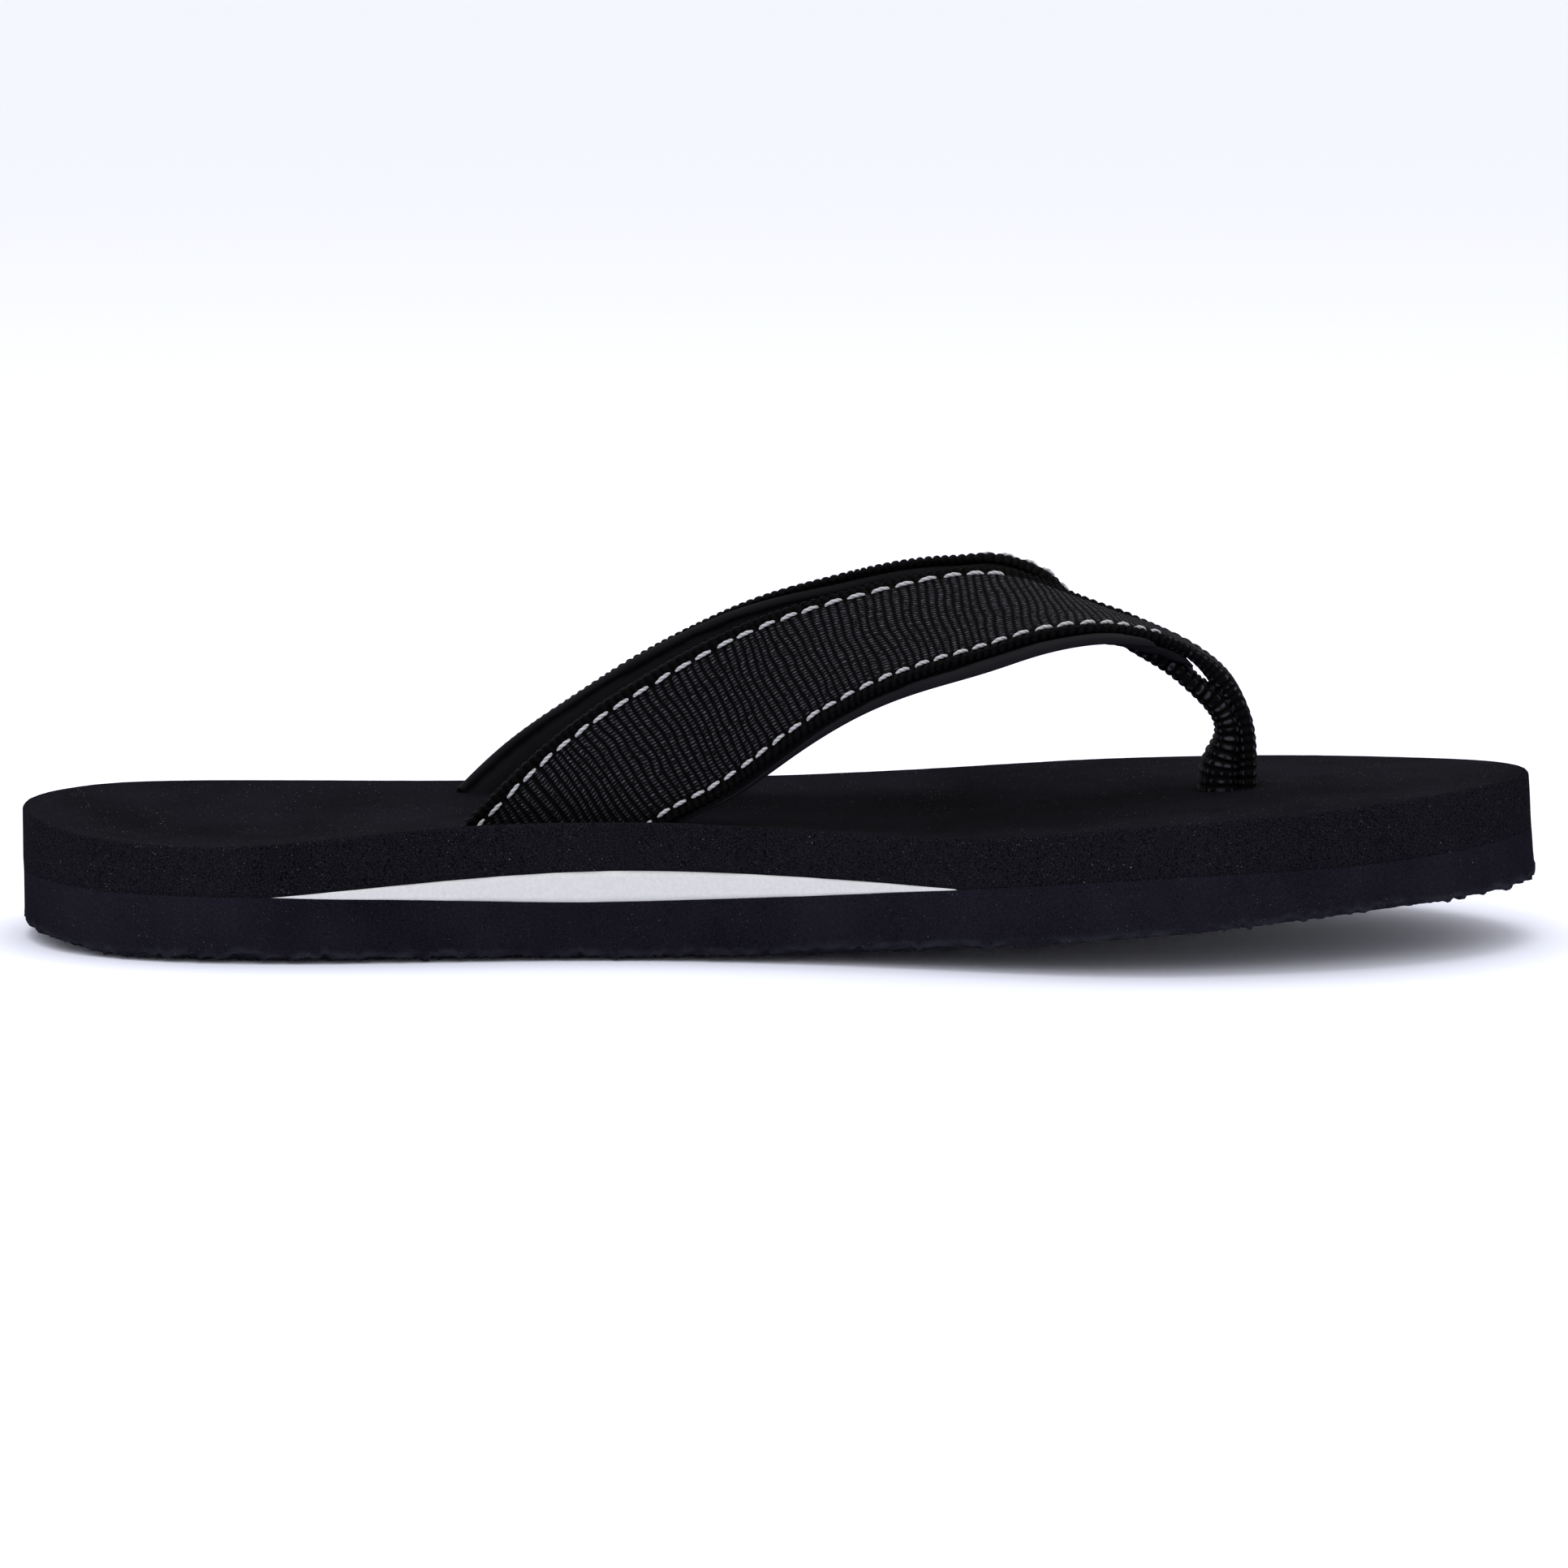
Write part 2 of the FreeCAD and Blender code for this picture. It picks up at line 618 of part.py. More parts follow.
os.makedirs("parts", exist_ok=True)
for node in NODES:
    node.Shape.exportStep(f"parts/{node.Label}.step")
    box = node.Shape.optimalBoundingBox(False)
    print(f"{node.Label}: {len(node.Shape.Solids)} solids, {node.Shape.Volume / 1000:.1f} cm3, "
          f"x {box.XMin:.1f}..{box.XMax:.1f}, y {box.YMin:.1f}..{box.YMax:.1f}, "
          f"z {box.ZMin:.1f}..{box.ZMax:.1f}")
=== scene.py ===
import math
import bmesh
import bpy
import numpy as np
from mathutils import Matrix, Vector


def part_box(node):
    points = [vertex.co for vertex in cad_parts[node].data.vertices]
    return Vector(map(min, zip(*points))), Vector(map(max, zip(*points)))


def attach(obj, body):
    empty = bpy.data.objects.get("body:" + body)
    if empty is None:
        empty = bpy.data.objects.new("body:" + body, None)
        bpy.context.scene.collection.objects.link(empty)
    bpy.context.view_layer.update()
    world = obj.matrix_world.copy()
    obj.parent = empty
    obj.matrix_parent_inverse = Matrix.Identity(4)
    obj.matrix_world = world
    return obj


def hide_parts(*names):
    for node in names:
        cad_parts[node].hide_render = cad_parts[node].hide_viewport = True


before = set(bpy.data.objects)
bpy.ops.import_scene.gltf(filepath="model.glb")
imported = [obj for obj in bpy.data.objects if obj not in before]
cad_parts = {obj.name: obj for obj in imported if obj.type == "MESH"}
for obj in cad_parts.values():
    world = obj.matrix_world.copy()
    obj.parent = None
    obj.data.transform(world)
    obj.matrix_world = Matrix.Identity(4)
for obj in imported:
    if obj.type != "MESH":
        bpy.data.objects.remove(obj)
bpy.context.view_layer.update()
mm = 0.001
latticeSize = (251, 241)                  # how far a random surface runs before it repeats, in cells
weldDistance = 2e-7
print("frame loaded:", len(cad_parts), "nodes")


# ---- shared curve and mesh helpers; lengths are millimetres until a mesh is made

# running length of a row of points
def chordKnots(points):
    steps = np.linalg.norm(np.diff(points, axis=0), axis=1)
    return np.concatenate([[0.0], np.cumsum(steps)])


# cubic spline through values at knots; its bend is zero at free ends, and equal at both ends of a loop
def splineThrough(knots, values, closed=False):
    knots = np.asarray(knots, float)
    values = np.asarray(values, float).reshape(len(knots), -1)
    gap = np.diff(knots)
    slope = np.diff(values, axis=0) / gap[:, None]
    matrix = np.eye(len(knots))
    wanted = np.zeros_like(values)
    inner = np.arange(1, len(knots) - 1)
    matrix[inner, inner - 1] = gap[:-1]
    matrix[inner, inner] = 2 * (gap[:-1] + gap[1:])
    matrix[inner, inner + 1] = gap[1:]
    wanted[1:-1] = 6 * np.diff(slope, axis=0)
    if closed:
        matrix[0, [0, 1, -2]] = 2 * (gap[0] + gap[-1]), gap[0], gap[-1]
        wanted[0] = 6 * (slope[0] - slope[-1])
        matrix[-1, 0] = -1
    bend = np.linalg.solve(matrix, wanted)

    def at(query):
        query = np.asarray(query, float)
        flat = query.ravel()
        k = np.clip(np.searchsorted(knots, flat, "right") - 1, 0, len(gap) - 1)
        b = ((flat - knots[k]) / gap[k])[:, None]
        a = 1 - b
        curved = ((a ** 3 - a) * bend[k] + (b ** 3 - b) * bend[k + 1]) * gap[k, None] ** 2 / 6
        found = (a * values[k] + b * values[k + 1] + curved).reshape(query.shape + (values.shape[1],))
        return found[..., 0] if values.shape[1] == 1 else found

    return at


# the same polyline with count points at equal distances
def evenly(points, count):
    run = chordKnots(points)
    wanted = np.linspace(0, run[-1], count)
    return np.column_stack([np.interp(wanted, run, points[:, i]) for i in range(points.shape[1])])


# eased step from 0 at low to 1 at high: 3t^2 - 2t^3
def ease(value, low, high):
    t = np.clip((value - low) / (high - low), 0, 1)
    return t * t * (3 - 2 * t)


# smooth random surface from -0.5 to 0.5: seeded lattice values, eased from one lattice point to the next
def uneven(u, v, cell, seed):
    m, n = latticeSize
    lattice = np.random.default_rng(seed).random(latticeSize) - 0.5
    a, b = np.broadcast_arrays(np.asarray(u, float) / cell, np.asarray(v, float) / cell)
    i, j = np.floor(a).astype(int), np.floor(b).astype(int)
    fa, fb = ease(a - i, 0, 1), ease(b - j, 0, 1)
    low = lattice[i % m, j % n] * (1 - fa) + lattice[(i + 1) % m, j % n] * fa
    high = lattice[i % m, (j + 1) % n] * (1 - fa) + lattice[(i + 1) % m, (j + 1) % n] * fa
    return low * (1 - fb) + high * fb


def unit(vectors):
    return vectors / np.linalg.norm(vectors, axis=-1, keepdims=True)


# quads over a grid of points (rows, columns, xyz) in mm; columns close into a loop, collapsed ends are welded
def gridPiece(name, grids, flip=False, uv=None, values=None, zones=None):
    grids = grids if grids.ndim == 4 else grids[None]
    count, rows, columns, _ = grids.shape
    base = np.arange(count)[:, None, None] * rows * columns
    i, j = np.meshgrid(np.arange(rows - 1), np.arange(columns), indexing="ij")
    k = (j + 1) % columns
    corners = np.stack([i * columns + j, (i + 1) * columns + j, (i + 1) * columns + k, i * columns + k], -1)
    if flip:
        corners = corners[..., ::-1]
    faces = (base[..., None] + corners[None]).reshape(-1, 4)
    mesh = bpy.data.meshes.new(name)
    mesh.vertices.add(count * rows * columns)
    mesh.vertices.foreach_set("co", (grids * mm).astype(np.float32).ravel())
    mesh.loops.add(faces.size)
    mesh.loops.foreach_set("vertex_index", faces.astype(np.int32).ravel())
    mesh.polygons.add(len(faces))
    mesh.polygons.foreach_set("loop_start", np.arange(0, faces.size, 4, dtype=np.int32))
    mesh.polygons.foreach_set("use_smooth", np.ones(len(faces), bool))
    if zones is not None:
        mesh.polygons.foreach_set("material_index", np.tile(zones, (rows - 1) * count).astype(np.int32))
    if uv is not None:
        layer = mesh.uv_layers.new(name="clothMap")
        layer.data.foreach_set("uv", uv.reshape(-1, 2)[faces.ravel()].astype(np.float32).ravel())
    for label, numbers in (values or {}).items():
        attribute = mesh.attributes.new(label, "FLOAT", "POINT")
        attribute.data.foreach_set("value", numbers.astype(np.float32).ravel())
    mesh.update(calc_edges=True)
    weld = bmesh.new()
    weld.from_mesh(mesh)
    bmesh.ops.remove_doubles(weld, verts=weld.verts, dist=weldDistance)
    bmesh.ops.dissolve_degenerate(weld, edges=weld.edges, dist=weldDistance / 2)
    weld.to_mesh(mesh)
    weld.free()
    mesh.validate()
    piece = bpy.data.objects.new(name, mesh)
    bpy.context.scene.collection.objects.link(piece)
    return piece


# the grid with each end row drawn together into one point
def closedEnds(points):
    ends = [np.repeat(points[i].mean(0)[None, None], points.shape[1], 1) for i in (0, -1)]
    return np.concatenate([ends[0], points, ends[1]])


# values of a grid, repeated for its two drawn-together ends
def withEnds(values):
    return np.concatenate([values[:1], values, values[-1:]])


def finishPiece(piece, materials, nodes):
    for material in materials:
        piece.data.materials.append(material)
    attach(piece, "root")
    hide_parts(*nodes)
    print(piece.name, "made:", len(piece.data.polygons), "faces")


# ---- materials

def linear(hexColour):
    parts = [int(hexColour[i:i + 2], 16) / 255 for i in (1, 3, 5)]
    return [c / 12.92 if c <= 0.04045 else ((c + 0.055) / 1.055) ** 2.4 for c in parts] + [1.0]


def addNode(tree, kind, settings=None, links=None):
    node = tree.nodes.new(kind)
    for key, value in (settings or {}).items():
        if isinstance(key, str) and hasattr(node, key):
            setattr(node, key, value)
        else:
            node.inputs[key].default_value = value
    for key, source in (links or {}).items():
        tree.links.new(source, node.inputs[key])
    return node


def newMaterial(name):
    material = bpy.data.materials.new(name)
    material.use_nodes = True
    tree = material.node_tree
    tree.nodes.clear()
    shader = addNode(tree, "ShaderNodeBsdfPrincipled")
    output = addNode(tree, "ShaderNodeOutputMaterial")
    tree.links.new(shader.outputs["BSDF"], output.inputs["Surface"])
    return material, tree, shader


foamLook = {
    # darkest and lightest shade, share of the cells in them, bump in mm, share of the surface with dust
    "mouldedEvaSkin": ("#0a0a0d", "#1a1a20", 0.5, 0.08, 1.0),
    "knifeCutEvaFoam": ("#000001", "#201f25", 0.85, 0.14, 0.6),
    "evaOutsoleSheet": ("#09080d", "#201f28", 0.6, 0.06, 0.45),
    "scuffed": "#25252c",
    "dust": "#8d8c93",
    "cellSize": 0.25,                     # mm; real cells are about 0.1 mm, drawn coarser so that they show
    "shadeSize": 26.0,
    "dustSpacing": (0.75, 2.1), "dustRadius": (0.08, 0.13),
    "bumpStrength": 0.6, "roughness": 0.95, "specular": 0.002,
    "patchSize": 8.0,                     # mm; dust gathers in patches of about this size
}


# EVA foam: matte, nearly black, with tiny cells that catch a little light and dust sitting in them
def evaFoam(name, scuffed=False):
    look = foamLook
    darkest, lightest, cellShare, cellBump, dustShare = look[name]
    material, tree, shader = newMaterial(name)
    place = addNode(tree, "ShaderNodeTexCoord").outputs["Object"]
    cells = addNode(tree, "ShaderNodeTexNoise", {"Scale": 1 / (look["cellSize"] * mm), "Detail": 2.0,
                                                 "Roughness": 0.6}, {"Vector": place}).outputs["Fac"]
    shade = addNode(tree, "ShaderNodeTexNoise", {"Scale": 1 / (look["shadeSize"] * mm), "Detail": 4.0,
                                                 "Roughness": 0.6}, {"Vector": place}).outputs["Fac"]
    cellTone = addNode(tree, "ShaderNodeMapRange", {"From Min": 0.35, "From Max": 0.68, "To Max": cellShare},
                       {"Value": cells})
    shadeTone = addNode(tree, "ShaderNodeMapRange", {"From Min": 0.3, "From Max": 0.7, "To Max": 1 - cellShare},
                        {"Value": shade})
    tone = addNode(tree, "ShaderNodeMath", {"operation": "ADD"},
                   {0: cellTone.outputs[0], 1: shadeTone.outputs[0]})
    colour = addNode(tree, "ShaderNodeMix", {"data_type": "RGBA", 6: linear(darkest), 7: linear(lightest)},
                     {0: tone.outputs[0]}).outputs[2]
    if scuffed:
        wear = addNode(tree, "ShaderNodeAttribute", {"attribute_name": "wear"}).outputs["Fac"]
        colour = addNode(tree, "ShaderNodeMix", {"data_type": "RGBA", 7: linear(look["scuffed"])},
                         {0: wear, 6: colour}).outputs[2]
    patches = addNode(tree, "ShaderNodeTexNoise", {"Scale": 1 / (look["patchSize"] * mm), "Detail": 2.0},
                      {"Vector": place}).outputs["Fac"]
    for spacing, radius in zip(look["dustSpacing"], look["dustRadius"]):
        grit = addNode(tree, "ShaderNodeTexVoronoi", {"Scale": 1 / (spacing * mm)}, {"Vector": place})
        share = radius / spacing
        speck = addNode(tree, "ShaderNodeMapRange",
                        {"From Min": share * 0.6, "From Max": share * 1.2, "To Min": 1.0, "To Max": 0.0},
                        {"Value": grit.outputs["Distance"]})
        settled = addNode(tree, "ShaderNodeMapRange", {"From Min": 0.36, "From Max": 0.66, "To Max": dustShare},
                          {"Value": patches})
        dust = addNode(tree, "ShaderNodeMath", {"operation": "MULTIPLY"},
                       {0: speck.outputs[0], 1: settled.outputs[0]})
        chance = addNode(tree, "ShaderNodeSeparateColor", {}, {"Color": grit.outputs["Color"]})
        faint = addNode(tree, "ShaderNodeMath", {"operation": "MULTIPLY"},
                        {0: dust.outputs[0], 1: chance.outputs["Red"]})
        colour = addNode(tree, "ShaderNodeMix", {"data_type": "RGBA", 7: linear(look["dust"])},
                         {0: faint.outputs[0], 6: colour}).outputs[2]
    bump = addNode(tree, "ShaderNodeBump", {"Strength": look["bumpStrength"], "Distance": cellBump * mm},
                   {"Height": cells})
    tree.links.new(colour, shader.inputs["Base Color"])
    tree.links.new(bump.outputs["Normal"], shader.inputs["Normal"])
    shader.inputs["Roughness"].default_value = look["roughness"]
    shader.inputs["Specular IOR Level"].default_value = look["specular"]
    return material


wedgeLook = {
    "dark": "#bfbfc0", "light": "#d4d4d4",
    "cellSize": 0.6,                      # mm; real cells are about 0.1 mm, drawn coarser so that they show
    "cellBump": 0.05, "roughness": 0.85, "specular": 0.2,
}


# white EVA foam of the wedge: chalky, fine even grain
def whiteFoam():
    material, tree, shader = newMaterial("whiteEvaFoam")
    place = addNode(tree, "ShaderNodeTexCoord").outputs["Object"]
    cells = addNode(tree, "ShaderNodeTexNoise", {"Scale": 1 / (wedgeLook["cellSize"] * mm), "Detail": 2.0},
                    {"Vector": place}).outputs["Fac"]
    colour = addNode(tree, "ShaderNodeMix", {"data_type": "RGBA", 6: linear(wedgeLook["dark"]),
                                             7: linear(wedgeLook["light"])}, {0: cells}).outputs[2]
    bump = addNode(tree, "ShaderNodeBump", {"Strength": 0.5, "Distance": wedgeLook["cellBump"] * mm},
                   {"Height": cells})
    tree.links.new(colour, shader.inputs["Base Color"])
    tree.links.new(bump.outputs["Normal"], shader.inputs["Normal"])
    shader.inputs["Roughness"].default_value = wedgeLook["roughness"]
    shader.inputs["Specular IOR Level"].default_value = wedgeLook["specular"]
    return material


webbingLook = {
    "deep": "#010101",                    # painted shade down in the grooves
    "thread": "#060608",
    "paintedGlint": "#55545d",                   # painted highlight where the polyester thread turns over a rib
    "threadPitch": 0.62,                  # mm; real yarns are about 0.4 mm, drawn coarser so that they show
    "wanderScale": 0.9, "fleckScale": 1.4,    # per mm
    "threadBump": 0.12, "roughness": 0.7, "specular": 0.03,
}


# black polyester grosgrain: yarns run along the strap and turn over each rib, a row of short painted glints on
# each, painted shade in the grooves
def grosgrain():
    material, tree, shader = newMaterial("polyesterGrosgrain")
    cloth = addNode(tree, "ShaderNodeUVMap", {"uv_map": "clothMap"}).outputs["UV"]
    split = addNode(tree, "ShaderNodeSeparateXYZ", {}, {"Vector": cloth})
    across = addNode(tree, "ShaderNodeMath", {"operation": "MULTIPLY", 1: 1 / webbingLook["threadPitch"]},
                     {0: split.outputs["Y"]}).outputs[0]
    wander = addNode(tree, "ShaderNodeTexNoise", {"Scale": webbingLook["wanderScale"], "Detail": 2.0},
                     {"Vector": cloth}).outputs["Fac"]
    across = addNode(tree, "ShaderNodeMath", {"operation": "ADD"}, {0: across, 1: wander}).outputs[0]
    turns = addNode(tree, "ShaderNodeMath", {"operation": "MULTIPLY", 1: 2 * math.pi}, {0: across}).outputs[0]
    yarn = addNode(tree, "ShaderNodeMath", {"operation": "SINE"}, {0: turns}).outputs[0]
    yarnTone = addNode(tree, "ShaderNodeMapRange", {"From Min": -0.2, "From Max": 1.0},
                       {"Value": yarn}).outputs[0]
    # ribHeight carries the painted light share of the cloth, not only the rib's height
    rib = addNode(tree, "ShaderNodeAttribute", {"attribute_name": "ribHeight"}).outputs["Fac"]
    crest = addNode(tree, "ShaderNodeMapRange", {"From Min": 0.74, "From Max": 0.98}, {"Value": rib}).outputs[0]
    fleck = addNode(tree, "ShaderNodeTexNoise", {"Scale": webbingLook["fleckScale"], "Detail": 3.0},
                    {"Vector": cloth}).outputs["Fac"]
    fleckTone = addNode(tree, "ShaderNodeMapRange", {"From Min": 0.35, "From Max": 0.7},
                        {"Value": fleck}).outputs[0]
    # painted highlight on the rib crests, broken into yarn stripes and flecks
    glint = addNode(tree, "ShaderNodeMath", {"operation": "MULTIPLY"}, {0: crest, 1: yarnTone}).outputs[0]
    glint = addNode(tree, "ShaderNodeMath", {"operation": "MULTIPLY"}, {0: glint, 1: fleckTone}).outputs[0]
    # painted shade: the cloth goes darker from the rib tops down into the grooves
    depth = addNode(tree, "ShaderNodeMapRange", {"From Min": 0.3, "From Max": 0.85}, {"Value": rib}).outputs[0]
    body = addNode(tree, "ShaderNodeMix", {"data_type": "RGBA", 6: linear(webbingLook["deep"]),
                                           7: linear(webbingLook["thread"])}, {0: depth}).outputs[2]
    colour = addNode(tree, "ShaderNodeMix", {"data_type": "RGBA", 7: linear(webbingLook["paintedGlint"])},
                     {0: glint, 6: body}).outputs[2]
    bump = addNode(tree, "ShaderNodeBump", {"Strength": 0.7, "Distance": webbingLook["threadBump"] * mm},
                   {"Height": yarn})
    tree.links.new(colour, shader.inputs["Base Color"])
    tree.links.new(bump.outputs["Normal"], shader.inputs["Normal"])
    shader.inputs["Roughness"].default_value = webbingLook["roughness"]
    shader.inputs["Specular IOR Level"].default_value = webbingLook["specular"]
    return material


liningLook = {
    "dark": "#0d0d10", "light": "#17171b",
    "weaveScale": 2.2, "shadeScale": 0.12,    # per mm
    "weaveBump": 0.03, "roughness": 0.7, "specular": 0.05,
}


# coated polyester lining: smooth, matte, a very fine weave under the coating
def coatedLining():
    material, tree, shader = newMaterial("coatedPolyesterLining")
    cloth = addNode(tree, "ShaderNodeUVMap", {"uv_map": "clothMap"}).outputs["UV"]
    weave = addNode(tree, "ShaderNodeTexWave", {"Scale": liningLook["weaveScale"], "Distortion": 0.8,
                                                "Detail": 1.0}, {"Vector": cloth}).outputs["Fac"]
    shade = addNode(tree, "ShaderNodeTexNoise", {"Scale": liningLook["shadeScale"], "Detail": 3.0},
                    {"Vector": cloth}).outputs["Fac"]
    colour = addNode(tree, "ShaderNodeMix", {"data_type": "RGBA", 6: linear(liningLook["dark"]),
                                             7: linear(liningLook["light"])}, {0: shade}).outputs[2]
    bump = addNode(tree, "ShaderNodeBump", {"Strength": 0.3, "Distance": liningLook["weaveBump"] * mm},
                   {"Height": weave})
    tree.links.new(colour, shader.inputs["Base Color"])
    tree.links.new(bump.outputs["Normal"], shader.inputs["Normal"])
    shader.inputs["Roughness"].default_value = liningLook["roughness"]
    shader.inputs["Specular IOR Level"].default_value = liningLook["specular"]
    return material


# grey two-ply polyester sewing thread with a soft sheen, painted darker between the plies as shade
def sewingThread():
    material, tree, shader = newMaterial("polyesterSewingThread")
    ply = addNode(tree, "ShaderNodeAttribute", {"attribute_name": "plyHeight"}).outputs["Fac"]
    # painted shade between the plies, lightest on their tops
    colour = addNode(tree, "ShaderNodeMix", {"data_type": "RGBA", 6: linear("#4c4c52"), 7: linear("#b0b0b5")},
                     {0: ply}).outputs[2]
    tree.links.new(colour, shader.inputs["Base Color"])
    shader.inputs["Roughness"].default_value = 0.6
    shader.inputs["Sheen Weight"].default_value = 0.2
    return material


# moulded polyethylene of the hidden anchor: plain, slightly waxy
def mouldedPlastic():
    material, tree, shader = newMaterial("mouldedPolyethylene")
    place = addNode(tree, "ShaderNodeTexCoord").outputs["Object"]
    grain = addNode(tree, "ShaderNodeTexNoise", {"Scale": 1 / (0.8 * mm)}, {"Vector": place}).outputs["Fac"]
    colour = addNode(tree, "ShaderNodeMix", {"data_type": "RGBA", 6: linear("#1c1c1e"), 7: linear("#29292c")},
                     {0: grain}).outputs[2]
    tree.links.new(colour, shader.inputs["Base Color"])
    shader.inputs["Roughness"].default_value = 0.45
    return material


skinFoam = evaFoam("mouldedEvaSkin")
cutFoam = evaFoam("knifeCutEvaFoam")
sheetFoam = evaFoam("evaOutsoleSheet", scuffed=True)
wedgeFoam = whiteFoam()
webbingCloth = grosgrain()
liningCloth = coatedLining()
greyThread = sewingThread()
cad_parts["toe_anchor"].data.materials.clear()
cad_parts["toe_anchor"].data.materials.append(mouldedPlastic())
print("materials made")


# ---- the sole's shared shape

soleShape = {
    # shares of half the length and half the width, heel to toe
    "medialEdge": [(-0.93, -0.455), (-0.73, -0.70), (-0.40, -0.675), (-0.14, -0.66),
                   (0.14, -0.80), (0.44, -0.995), (0.72, -0.87), (0.93, -0.50)],
    "lateralEdge": [(0.965, 0.30), (0.84, 0.65), (0.64, 0.86), (0.32, 1.0),
                    (0.0, 0.93), (-0.36, 0.75), (-0.73, 0.70), (-0.93, 0.50)],
    "heelTip": (-1.0, 0.0),
    "toeTip": (1.0, -0.09),
    "footbedSections": 520, "outsoleSections": 760,
    # heights along the side: underside, joint between the layers, and the wedge that opens it
    "underside": [(-146, 3.6), (-136, 1.4), (-128, 0.4), (-116, 0.0), (-60, 0.0), (-18, 0.0), (6, 1.16),
                  (28, 3.0), (64, 6.2), (93, 8.7), (120, 10.4), (146, 11.0)],
    "joint": [(-146, 13.1), (-118, 12.3), (-91, 12.2), (-62, 11.9), (-30, 11.6), (0, 12.5),
              (28, 14.5), (60, 17.3), (80, 18.4), (102, 19.0), (120, 19.9), (146, 21.4)],
    "wedgeTop": [(-91.5, 12.2), (-72, 14.0), (-52, 15.6), (-30, 16.6), (0, 16.2), (18, 15.6), (32, 15.0)],
    "wedgeBottom": [(-91.5, 12.2), (-84, 12.0), (-66, 11.6), (-40, 10.9), (-10, 11.7), (14, 13.3), (32, 15.0)],
    "wedgeReach": 30.0,
    # foot surface: x, height on the centre line, slope to the lateral side, rise to the rim
    "foot": [(-146, 25.4, 0.000, 0.0), (-132, 23.0, 0.030, 1.2), (-118, 21.2, 0.038, 1.9),
             (-95, 20.3, 0.029, 2.2), (-62, 21.6, -0.021, 2.3), (-35, 22.1, -0.040, 2.3), (0, 21.7, -0.036, 2.2),
             (32, 22.5, -0.006, 1.5), (62, 26.0, -0.010, 0.4), (85, 28.4, -0.015, -0.8),
             (112, 29.4, -0.026, -0.4), (130, 30.3, -0.032, 0.0), (146, 31.4, -0.020, 0.0)],
    "heelHalfWidth": 34.5,
    "widens": (-20, 50),                  # from the heel's half width to the ball's, between these x
    "rimLimit": 1.15,
    "toeLean": 1.7,                       # the toe wall leans back by this much at the rim
    "leanHeight": 22.0, "leanBetween": (95, 138),
}
soleLow, soleHigh = (np.array(corner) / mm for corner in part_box("outsole"))
halfLength, halfWidth = ((soleHigh - soleLow) / 2)[:2]


# both sides of the plan outline from heel to toe: points, the way inward, and the running length
def rimSides(sections):
    shape = soleShape
    plan = np.array([shape["heelTip"]] + shape["medialEdge"] + [shape["toeTip"]] + shape["lateralEdge"]
                    + [shape["heelTip"]]) * [halfLength, halfWidth]
    knots = chordKnots(plan)
    toeKnot = knots[len(shape["medialEdge"]) + 1]
    around = splineThrough(knots, plan, closed=True)
    sides = []
    for startKnot, turn in ((0, 1), (knots[-1], -1)):
        rim = evenly(around(np.linspace(startKnot, toeKnot, 6000)), sections)
        way = unit(np.gradient(rim, axis=0))
        sides.append((rim, np.column_stack([-way[:, 1], way[:, 0]]) * turn, chordKnots(rim)))
    return sides


medialRim = rimSides(soleShape["outsoleSections"])[0][0]


def heightAlong(stations):
    table = np.array(stations, float)
    return splineThrough(table[:, 0], table[:, 1])


underside, joint = heightAlong(soleShape["underside"]), heightAlong(soleShape["joint"])
wedgeTop, wedgeBottom = heightAlong(soleShape["wedgeTop"]), heightAlong(soleShape["wedgeBottom"])
footTable = np.array(soleShape["foot"])
footCurves = splineThrough(footTable[:, 0], footTable[:, 1:])
wedgeStart, wedgeEnd = soleShape["wedgeTop"][0][0], soleShape["wedgeTop"][-1][0]


# the wedge's share of the joint's opening, from 1 at the medial edge to 0 inside the sole
def wedgeShare(x, y):
    edge = np.interp(x, medialRim[:, 0], medialRim[:, 1])
    return np.clip(1 - (y - edge) / soleShape["wedgeReach"], 0, 1) * ((x > wedgeStart) & (x < wedgeEnd))


def jointAbove(x, y):
    return joint(x) + wedgeShare(x, y) * np.maximum(wedgeTop(x) - joint(x), 0)


def jointBelow(x, y):
    return joint(x) + wedgeShare(x, y) * np.minimum(wedgeBottom(x) - joint(x), 0)


# centre height + slope * y + rise * (share of the half width)^2
def footSurface(x, y):
    centre, slope, rise = np.moveaxis(footCurves(x), -1, 0)
    heel, (start, end) = soleShape["heelHalfWidth"], soleShape["widens"]
    half = heel + (halfWidth - heel) * np.clip((x - start) / (end - start), 0, 1)
    share = np.minimum(np.abs(y) / half, soleShape["rimLimit"])
    return centre + slope * y + rise * share ** 2


# a column of the sole's wall: the rim moved inward, at heights z
def wallColumn(rim, inward, inset, z):
    return np.column_stack([rim + inward * np.reshape(inset, (-1, 1)), z])


# how far the wall leans in at height z: only at the toe
def leanAt(x, z):
    height = np.clip((z - underside(x)) / soleShape["leanHeight"], 0, 1)
    return soleShape["toeLean"] * height * ease(x, *soleShape["leanBetween"])


footbedParts = {
    "topColumns": 108, "wallColumns": 12, "filletColumns": 5, "underColumns": 8,
    "rimRadius": 0.7,
    "swell": 0.22, "swellSpacing": 7.0, "nick": 0.18, "nickSpacing": 1.6,
    "seats": [((-58, -26.4), (-19, -28.2)), ((-60, 28.2), (-17, 30.0))],   # where the straps go in
    "seatHalfWidth": 3.0, "seatDepth": 0.4,
    "postSeat": (83.4, -6.4), "postSeatHalf": (6.6, 6.2), "postSeatDepth": 0.35,
}


